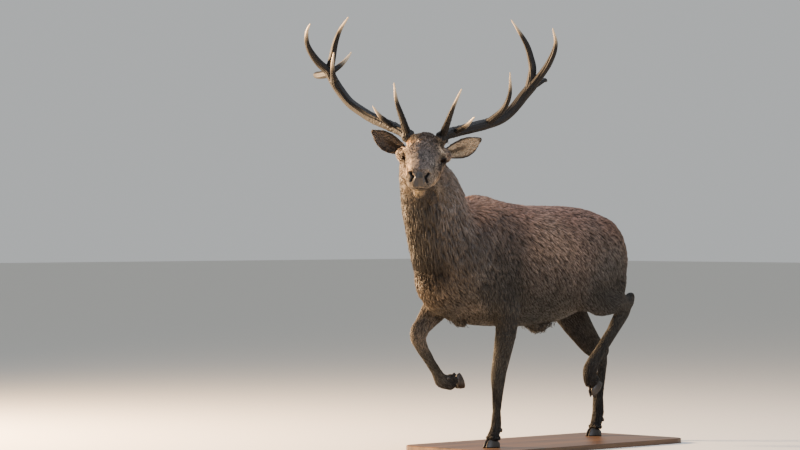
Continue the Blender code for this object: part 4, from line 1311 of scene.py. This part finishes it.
# %% Antler curves
# points in the head's frame, then the radii at both ends; a tine starts inside its beam
ANTLERS = {
    "right": {
        "beam": ([(-0.066, 0.050, 0.080), (-0.099, 0.070, 0.106), (-0.169, 0.118, 0.126),
                  (-0.248, 0.168, 0.146), (-0.310, 0.205, 0.171), (-0.372, 0.235, 0.207),
                  (-0.426, 0.250, 0.263), (-0.460, 0.250, 0.315), (-0.481, 0.246, 0.350)], 0.0245, 0.0220),
        "brow": ([(-0.080, 0.058, 0.094), (-0.112, -0.010, 0.191), (-0.136, -0.052, 0.262),
                  (-0.152, -0.065, 0.346)], 0.0175, 0.0028),
        "bez": ([(-0.150, 0.104, 0.122), (-0.208, 0.045, 0.172), (-0.244, -0.015, 0.226)], 0.0135, 0.0028),
        "trez": ([(-0.448, 0.252, 0.296), (-0.446, 0.190, 0.316), (-0.451, 0.150, 0.380),
                  (-0.447, 0.130, 0.440)], 0.0150, 0.0028),
        "outer": ([(-0.472, 0.248, 0.335), (-0.531, 0.235, 0.384), (-0.573, 0.200, 0.452),
                   (-0.578, 0.165, 0.520), (-0.562, 0.140, 0.563)], 0.0190, 0.0028),
        "inner": ([(-0.472, 0.248, 0.335), (-0.461, 0.250, 0.412), (-0.452, 0.245, 0.471),
                   (-0.434, 0.230, 0.531), (-0.396, 0.205, 0.598)], 0.0190, 0.0028),
        "third": ([(-0.468, 0.249, 0.330), (-0.412, 0.290, 0.379), (-0.380, 0.325, 0.427)], 0.0140, 0.0028),
        "rear": ([(-0.468, 0.249, 0.330), (-0.514, 0.300, 0.312), (-0.540, 0.352, 0.304)], 0.0195, 0.0150),
    },
    "left": {
        "beam": ([(0.062, 0.050, 0.082), (0.090, 0.078, 0.110), (0.141, 0.120, 0.124), (0.202, 0.160, 0.140),
                  (0.265, 0.195, 0.157), (0.328, 0.225, 0.182), (0.381, 0.245, 0.230),
                  (0.425, 0.255, 0.294), (0.462, 0.252, 0.344)], 0.0245, 0.0235),
        "brow": ([(0.074, 0.062, 0.098), (0.099, -0.010, 0.183), (0.122, -0.052, 0.258),
                  (0.153, -0.065, 0.341)], 0.0175, 0.0028),
        "bez": ([(0.120, 0.104, 0.120), (0.175, 0.045, 0.157), (0.218, -0.015, 0.213)], 0.0135, 0.0028),
        "trez": ([(0.262, 0.194, 0.156), (0.335, 0.150, 0.230), (0.364, 0.098, 0.312), (0.360, 0.060, 0.418)],
                 0.0165, 0.0028),
        "outer": ([(0.445, 0.254, 0.322), (0.498, 0.240, 0.398), (0.533, 0.216, 0.466), (0.554, 0.180, 0.546),
                   (0.535, 0.140, 0.623)], 0.0205, 0.0028),
        "inner": ([(0.445, 0.254, 0.322), (0.455, 0.264, 0.406), (0.444, 0.265, 0.463), (0.415, 0.255, 0.536),
                   (0.344, 0.215, 0.639)], 0.0205, 0.0028),
        "rear": ([(0.450, 0.254, 0.328), (0.506, 0.310, 0.361), (0.519, 0.360, 0.357)], 0.0150, 0.0070),
    },
}
CURVE_STEPS, TAPER = 8, 1.5
BURR_RADIUS, BURR_LENGTH, BURR_AT = 0.0325, 0.014, 0.022
ANTLER_VOXEL, POINTED = 0.0024, 0.005
FURROWS, FURROW_RUN, FURROW_DEEP = 3.6, 7, 0.0026
# furrows are counted round each rod from the side that faces this way
SEAM = np.array([0.2, 0.3, 1.0])
PEARLS_PER_METRE, PEARL_HIGH = 130, 0.0036


def fine_run(rows):
    """A smooth run of points through the rows."""
    rows = np.array(rows, float)
    ends = np.vstack([2 * rows[0] - rows[1], rows, 2 * rows[-1] - rows[-2]])
    run = []
    for before, start, end, after in zip(ends, ends[1:], ends[2:], ends[3:]):
        for t in np.arange(CURVE_STEPS) / CURVE_STEPS:
            bow = (2 * before - 5 * start + 4 * end - after) * t ** 2
            twist = (3 * start - before - 3 * end + after) * t ** 3
            run.append(0.5 * (2 * start + (end - before) * t + bow + twist))
    run.append(rows[-1])
    return np.array(run)


def thick_curve(run, radii):
    """A round rod along a run, from a curve object with a radius at each point."""
    data = bpy.data.curves.new("rod", "CURVE")
    data.dimensions = "3D"
    data.bevel_depth = 1.0
    data.bevel_resolution = 4
    data.use_fill_caps = True
    line = data.splines.new("POLY")
    line.points.add(len(run) - 1)
    for point, place, radius in zip(line.points, out_of_head(run), radii):
        point.co = (*place, 1)
        point.radius = radius
    rod = bpy.data.objects.new("rod", data)
    bpy.context.collection.objects.link(rod)
    only_select(rod)
    bpy.ops.object.convert(target="MESH")
    return bpy.context.object


def grow_rods(side):
    """The rods of one antler, and rows along their middle lines: place, length so far, number."""
    rods, lines, tips = [], [], []
    for name, (rows, thick, thin) in ANTLERS[side].items():
        run = fine_run(rows)
        along = np.r_[0, np.cumsum(np.linalg.norm(np.diff(run, axis=0), axis=1))]
        share = along / along[-1]
        if name == "beam":
            radii = thick + (thin - thick) * share
            radii = radii + (BURR_RADIUS - thick) * np.exp(-((along - BURR_AT) / BURR_LENGTH) ** 2)
        else:
            radii = thick + (thin - thick) * share ** TAPER
        if thin < POINTED:
            tips.append(run[-1])
        rods.append(thick_curve(run, radii))
        lines.append(np.c_[run, along, np.full(len(run), len(rods))])
    return rods, lines, tips


def carve(made, side, lines, tips):
    """Furrows and pearls the antler, and stores them with how far its tips are worn."""
    places = in_head(points_of(made))
    rows = np.vstack(lines)
    finder = KDTree(len(rows))
    for i, row in enumerate(rows):
        finder.insert(row[:3], i)
    finder.balance()
    nearest = np.array([finder.find(p)[1] for p in places])
    step = np.vstack([np.gradient(line[:, :3], axis=0) for line in lines])
    axis = unit(step[nearest])
    offset = places - rows[nearest, :3]
    seam = unit(np.cross(axis, np.cross(SEAM, axis)))
    angle = np.arctan2((np.cross(axis, seam) * offset).sum(1), (seam * offset).sum(1))
    run_along = rows[nearest, 3] + (offset * axis).sum(1)
    deep = (run_along + rows[nearest, 4]) * FURROW_RUN
    furrow = np.array([noise.noise(Vector((math.cos(a) * FURROWS, math.sin(a) * FURROWS, d)))
                       for a, d in zip(angle, deep)])
    pearl = np.array([noise.noise(Vector(p) * PEARLS_PER_METRE) for p in places])
    root = np.linalg.norm(places - np.array(ANTLERS[side]["beam"][0][1]), axis=1)
    tip = np.min([np.linalg.norm(places - t, axis=1) for t in tips], axis=0)
    near_root = 1 - smooth_step(root, 0.03, 0.30)
    worn = 1 - smooth_step(tip, 0.014, 0.105)
    lift = FURROW_DEEP * furrow * (1 - worn) + PEARL_HIGH * np.clip(pearl, 0, 1) * near_root * (1 - worn)
    move_points(made, points_of(made) + normals_of(made) * lift[:, None])
    set_attribute(made, "worn", worn)
    set_attribute(made, "furrow", furrow * (1 - worn) + pearl * near_root * 0.6)


def antler(side):
    """One antler: rods melted together, smoothed and carved."""
    rods, lines, tips = grow_rods(side)
    only_select(*rods)
    bpy.ops.object.join()
    made = bpy.context.object
    made.name = f"antler_{side}"
    remesh(made, ANTLER_VOXEL)
    move_points(made, relax(points_of(made), edges_of(made), 5))
    carve(made, side, lines, tips)
    only_select(made)
    bpy.ops.object.shade_smooth()
    print(made.name, len(made.data.polygons), "faces")
    return made


# %% Antler material
bone, tree, shader = new_material("stained and polished antler bone")
worn = add(tree, "Attribute", attribute_name="worn")
furrow = add(tree, "Attribute", attribute_name="furrow")
where = add(tree, "TexCoord")
cloud = add(tree, "TexNoise", {"Vector": where.outputs["Object"], "Scale": 28.0, "Detail": 4.0})
grain = add(tree, "TexNoise", {"Vector": where.outputs["Object"], "Scale": 420.0, "Detail": 2.0})
deep = add(tree, "MapRange", {"Value": furrow.outputs["Fac"], "From Min": -0.35, "From Max": 0.35})
stain = mix_colours(tree, deep.outputs["Result"], linear("030303"), linear("14110F"))
patchy = mix_colours(tree, cloud.outputs["Fac"], stain, linear("0A0807"))
tipped = mix_colours(tree, worn.outputs["Fac"], patchy, linear("C2B093"))
rough = add(tree, "MapRange", {"Value": worn.outputs["Fac"], "To Min": 0.62, "To Max": 0.32})
bump = add(tree, "Bump", {"Height": grain.outputs["Fac"], "Strength": 0.35, "Distance": 0.0008})
plug(tree, shader, {"Base Color": tipped, "Roughness": rough.outputs["Result"],
                    "Normal": bump.outputs["Normal"], "Specular IOR Level": 0.3})

for _, side in BOTH_SIDES:
    made = antler(side)
    made.data.materials.clear()
    made.data.materials.append(bone)
    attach(made, "root")
    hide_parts(*[f"antler_{side}_{name}" for name in ANTLERS[side]])

# %% [markdown]
# ## Eyes
#
# A deer's eye is nearly all iris, dark brown, with a wide level pupil, under a clear domed
# cornea. The ball is a sphere that bulges a little in front, and its finish reads how far each
# point lies from the middle of the gaze.

# %% Eyeballs
CORNEA_HIGH = 0.0012
eyeball, tree, shader = new_material("wet dark eye under clear cornea")
gaze = add(tree, "Attribute", attribute_name="gaze")
parts = add(tree, "SeparateXYZ", {"Vector": gaze.outputs["Vector"]})
wide = add(tree, "Math", {0: parts.outputs["X"], 1: 0.62}, operation="MULTIPLY")
flat = add(tree, "CombineXYZ", {"X": wide.outputs["Value"], "Y": parts.outputs["Y"]})
pupil_far = add(tree, "VectorMath", {0: flat.outputs["Vector"]}, operation="LENGTH")
pupil = add(tree, "MapRange", {"Value": pupil_far.outputs["Value"], "From Min": 0.20, "From Max": 0.26})
streak = add(tree, "TexNoise", {"Vector": gaze.outputs["Vector"], "Scale": 14.0, "Detail": 3.0})
iris = mix_colours(tree, streak.outputs["Fac"], linear("0B0603"), linear("24130A"))
ball = mix_colours(tree, pupil.outputs["Result"], linear("030303"), iris)
plug(tree, shader, {"Base Color": ball, "Roughness": 0.20, "Specular IOR Level": 0.02,
                    "Coat Weight": 0.025, "Coat Roughness": 0.05})

for side, name in BOTH_SIDES:
    bpy.ops.object.select_all(action="DESELECT")
    bpy.ops.mesh.primitive_uv_sphere_add(segments=40, ring_count=24, radius=EYE_RADIUS)
    eye = bpy.context.object
    eye.name = f"eye_{name}_ball"
    points = points_of(eye)
    forward = points[:, 2] / EYE_RADIUS
    points[:, 2] += CORNEA_HIGH * smooth_step(forward, 0.72, 1.0)
    set_attribute(eye, "gaze", points / EYE_RADIUS, "FLOAT_VECTOR")
    mirror = np.array([side, 1, 1])
    look, along, up = np.array(GAZE) * mirror, np.array(slit) * mirror, np.array(lid_up) * mirror
    placed = points[:, :1] * along + points[:, 1:2] * up + points[:, 2:] * look + np.array(EYE_AT) * mirror
    move_points(eye, out_of_head(placed))
    eye.data.materials.append(eyeball)
    only_select(eye)
    bpy.ops.object.mode_set(mode="EDIT")
    bpy.ops.mesh.select_all(action="SELECT")
    bpy.ops.mesh.normals_make_consistent(inside=False)
    bpy.ops.object.mode_set(mode="OBJECT")
    bpy.ops.object.shade_smooth()
    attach(eye, "root")
    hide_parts(f"eye_{name}")
print("eyes: radius in mm", EYE_RADIUS * 1000)

# %% [markdown]
# ## Claws
#
# A cloven hoof is two claws of dark horn that grow down from the coronet and show it in faint
# rings. Each claw solid is copied, its triangles are joined back into quads, and a subdivision
# rounds its wall while creases keep the sole's edge. The dewclaws, small claws higher up at the
# back, are seated on the skin, since it lies a little inside the solids.

# %% Horn of the claws
horn, tree, shader = new_material("dark hoof horn with growth rings")
where = add(tree, "TexCoord")
ring = add(tree, "Attribute", attribute_name="down")
waves = add(tree, "Math", {0: ring.outputs["Fac"], 1: 1900.0}, operation="MULTIPLY")
wave = add(tree, "Math", {0: waves.outputs["Value"]}, operation="SINE")
dust = add(tree, "TexNoise", {"Vector": where.outputs["Object"], "Scale": 90.0, "Detail": 4.0})
tone = mix_colours(tree, dust.outputs["Fac"], linear("110E0C"), linear("2C2621"))
bump = add(tree, "Bump", {"Height": wave.outputs["Value"], "Strength": 0.12, "Distance": 0.0006})
plug(tree, shader, {"Base Color": tone, "Normal": bump.outputs["Normal"], "Roughness": 0.42})
print("horn finish:", len(tree.nodes), "nodes")

# %% Round the claws
ROUND_LEVELS = 2
DEWCLAW_OUT, DEWCLAW_GROWN = 0.0035, 1.15
SOLE_THICK, SOLE_CREASE = 0.001, 0.8


def seat_dewclaw(made):
    """Moves a dewclaw onto the skin nearest to it and swells it a little."""
    points = points_of(made)
    middle_point = points.mean(0)
    nearest = np.array(skin_tree.find_nearest(Vector(middle_point))[0])
    seated = nearest - unit(nearest - middle_point) * DEWCLAW_OUT
    move_points(made, seated + (points - middle_point) * DEWCLAW_GROWN)


def horn_piece(node_name, leg):
    """A rounded copy of a claw solid with its growth height stored."""
    made = copy_of([node_name])
    made.name = f"{node_name}_horn"
    only_select(made)
    bpy.ops.object.mode_set(mode="EDIT")
    bpy.ops.mesh.select_all(action="SELECT")
    bpy.ops.mesh.tris_convert_to_quads(face_threshold=math.radians(50), shape_threshold=math.radians(70))
    bpy.ops.mesh.dissolve_limited(angle_limit=math.radians(1))
    bpy.ops.object.mode_set(mode="OBJECT")
    if node_name.startswith("dewclaw"):
        seat_dewclaw(made)
    height = above_foot(points_of(made), leg)
    crease = made.data.attributes.new("crease_edge", "FLOAT", "EDGE")
    for edge in made.data.edges:
        if all(height[v] < height.min() + SOLE_THICK for v in edge.vertices):
            crease.data[edge.index].value = SOLE_CREASE
    step = made.modifiers.new("round", "SUBSURF")
    step.levels = step.render_levels = ROUND_LEVELS
    bpy.ops.object.modifier_apply(modifier=step.name)
    set_attribute(made, "down", above_foot(points_of(made), leg))
    made.data.materials.clear()
    made.data.materials.append(horn)
    bpy.ops.object.shade_smooth()
    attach(made, "root")
    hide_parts(node_name)


for leg in FEET:
    for _, side in BOTH_SIDES:
        horn_piece(f"claw_{leg}_{side}", leg)
        horn_piece(f"dewclaw_{leg}_{side}", leg)
print("claws: 8 and 8 dewclaws")

# %% [markdown]
# ## Base
#
# The plate under the hooves is oiled oak, the usual base of a museum's mount. Its solid is
# right as it is and only needs its grain: long streaks along the plate, with fine pores.

# %% Oak
oak, tree, shader = new_material("dark oiled oak")
where = add(tree, "TexCoord")
stretch = add(tree, "Mapping", {"Vector": where.outputs["Object"], "Scale": (22.0, 1.1, 22.0)})
warp = add(tree, "TexNoise", {"Vector": stretch.outputs["Vector"], "Scale": 1.0, "Detail": 5.0,
                              "Distortion": 0.7})
fine = add(tree, "Mapping", {"Vector": where.outputs["Object"], "Scale": (420.0, 14.0, 420.0)})
pores = add(tree, "TexNoise", {"Vector": fine.outputs["Vector"], "Scale": 1.0, "Detail": 2.0})
streaks = add(tree, "MapRange", {"Value": warp.outputs["Fac"], "From Min": 0.35, "From Max": 0.65})
wood = mix_colours(tree, streaks.outputs["Result"], linear("3A281A"), linear("5E4229"))
pored = add(tree, "MapRange", {"Value": pores.outputs["Fac"], "From Min": 0.35, "From Max": 0.5,
                               "To Min": 0.72, "To Max": 1.0})
final = add(tree, "VectorMath", {0: wood, "Scale": pored.outputs["Result"]}, operation="SCALE")
bump = add(tree, "Bump", {"Height": pores.outputs["Fac"], "Strength": 0.2, "Distance": 0.0005})
plug(tree, shader, {"Base Color": final.outputs["Vector"], "Normal": bump.outputs["Normal"],
                    "Roughness": 0.38})
base = NODES["stand_base"]
base.data.materials.clear()
base.data.materials.append(oak)
print("oak finish:", len(tree.nodes), "nodes")

# %% Tidy up
bpy.data.objects.remove(target)
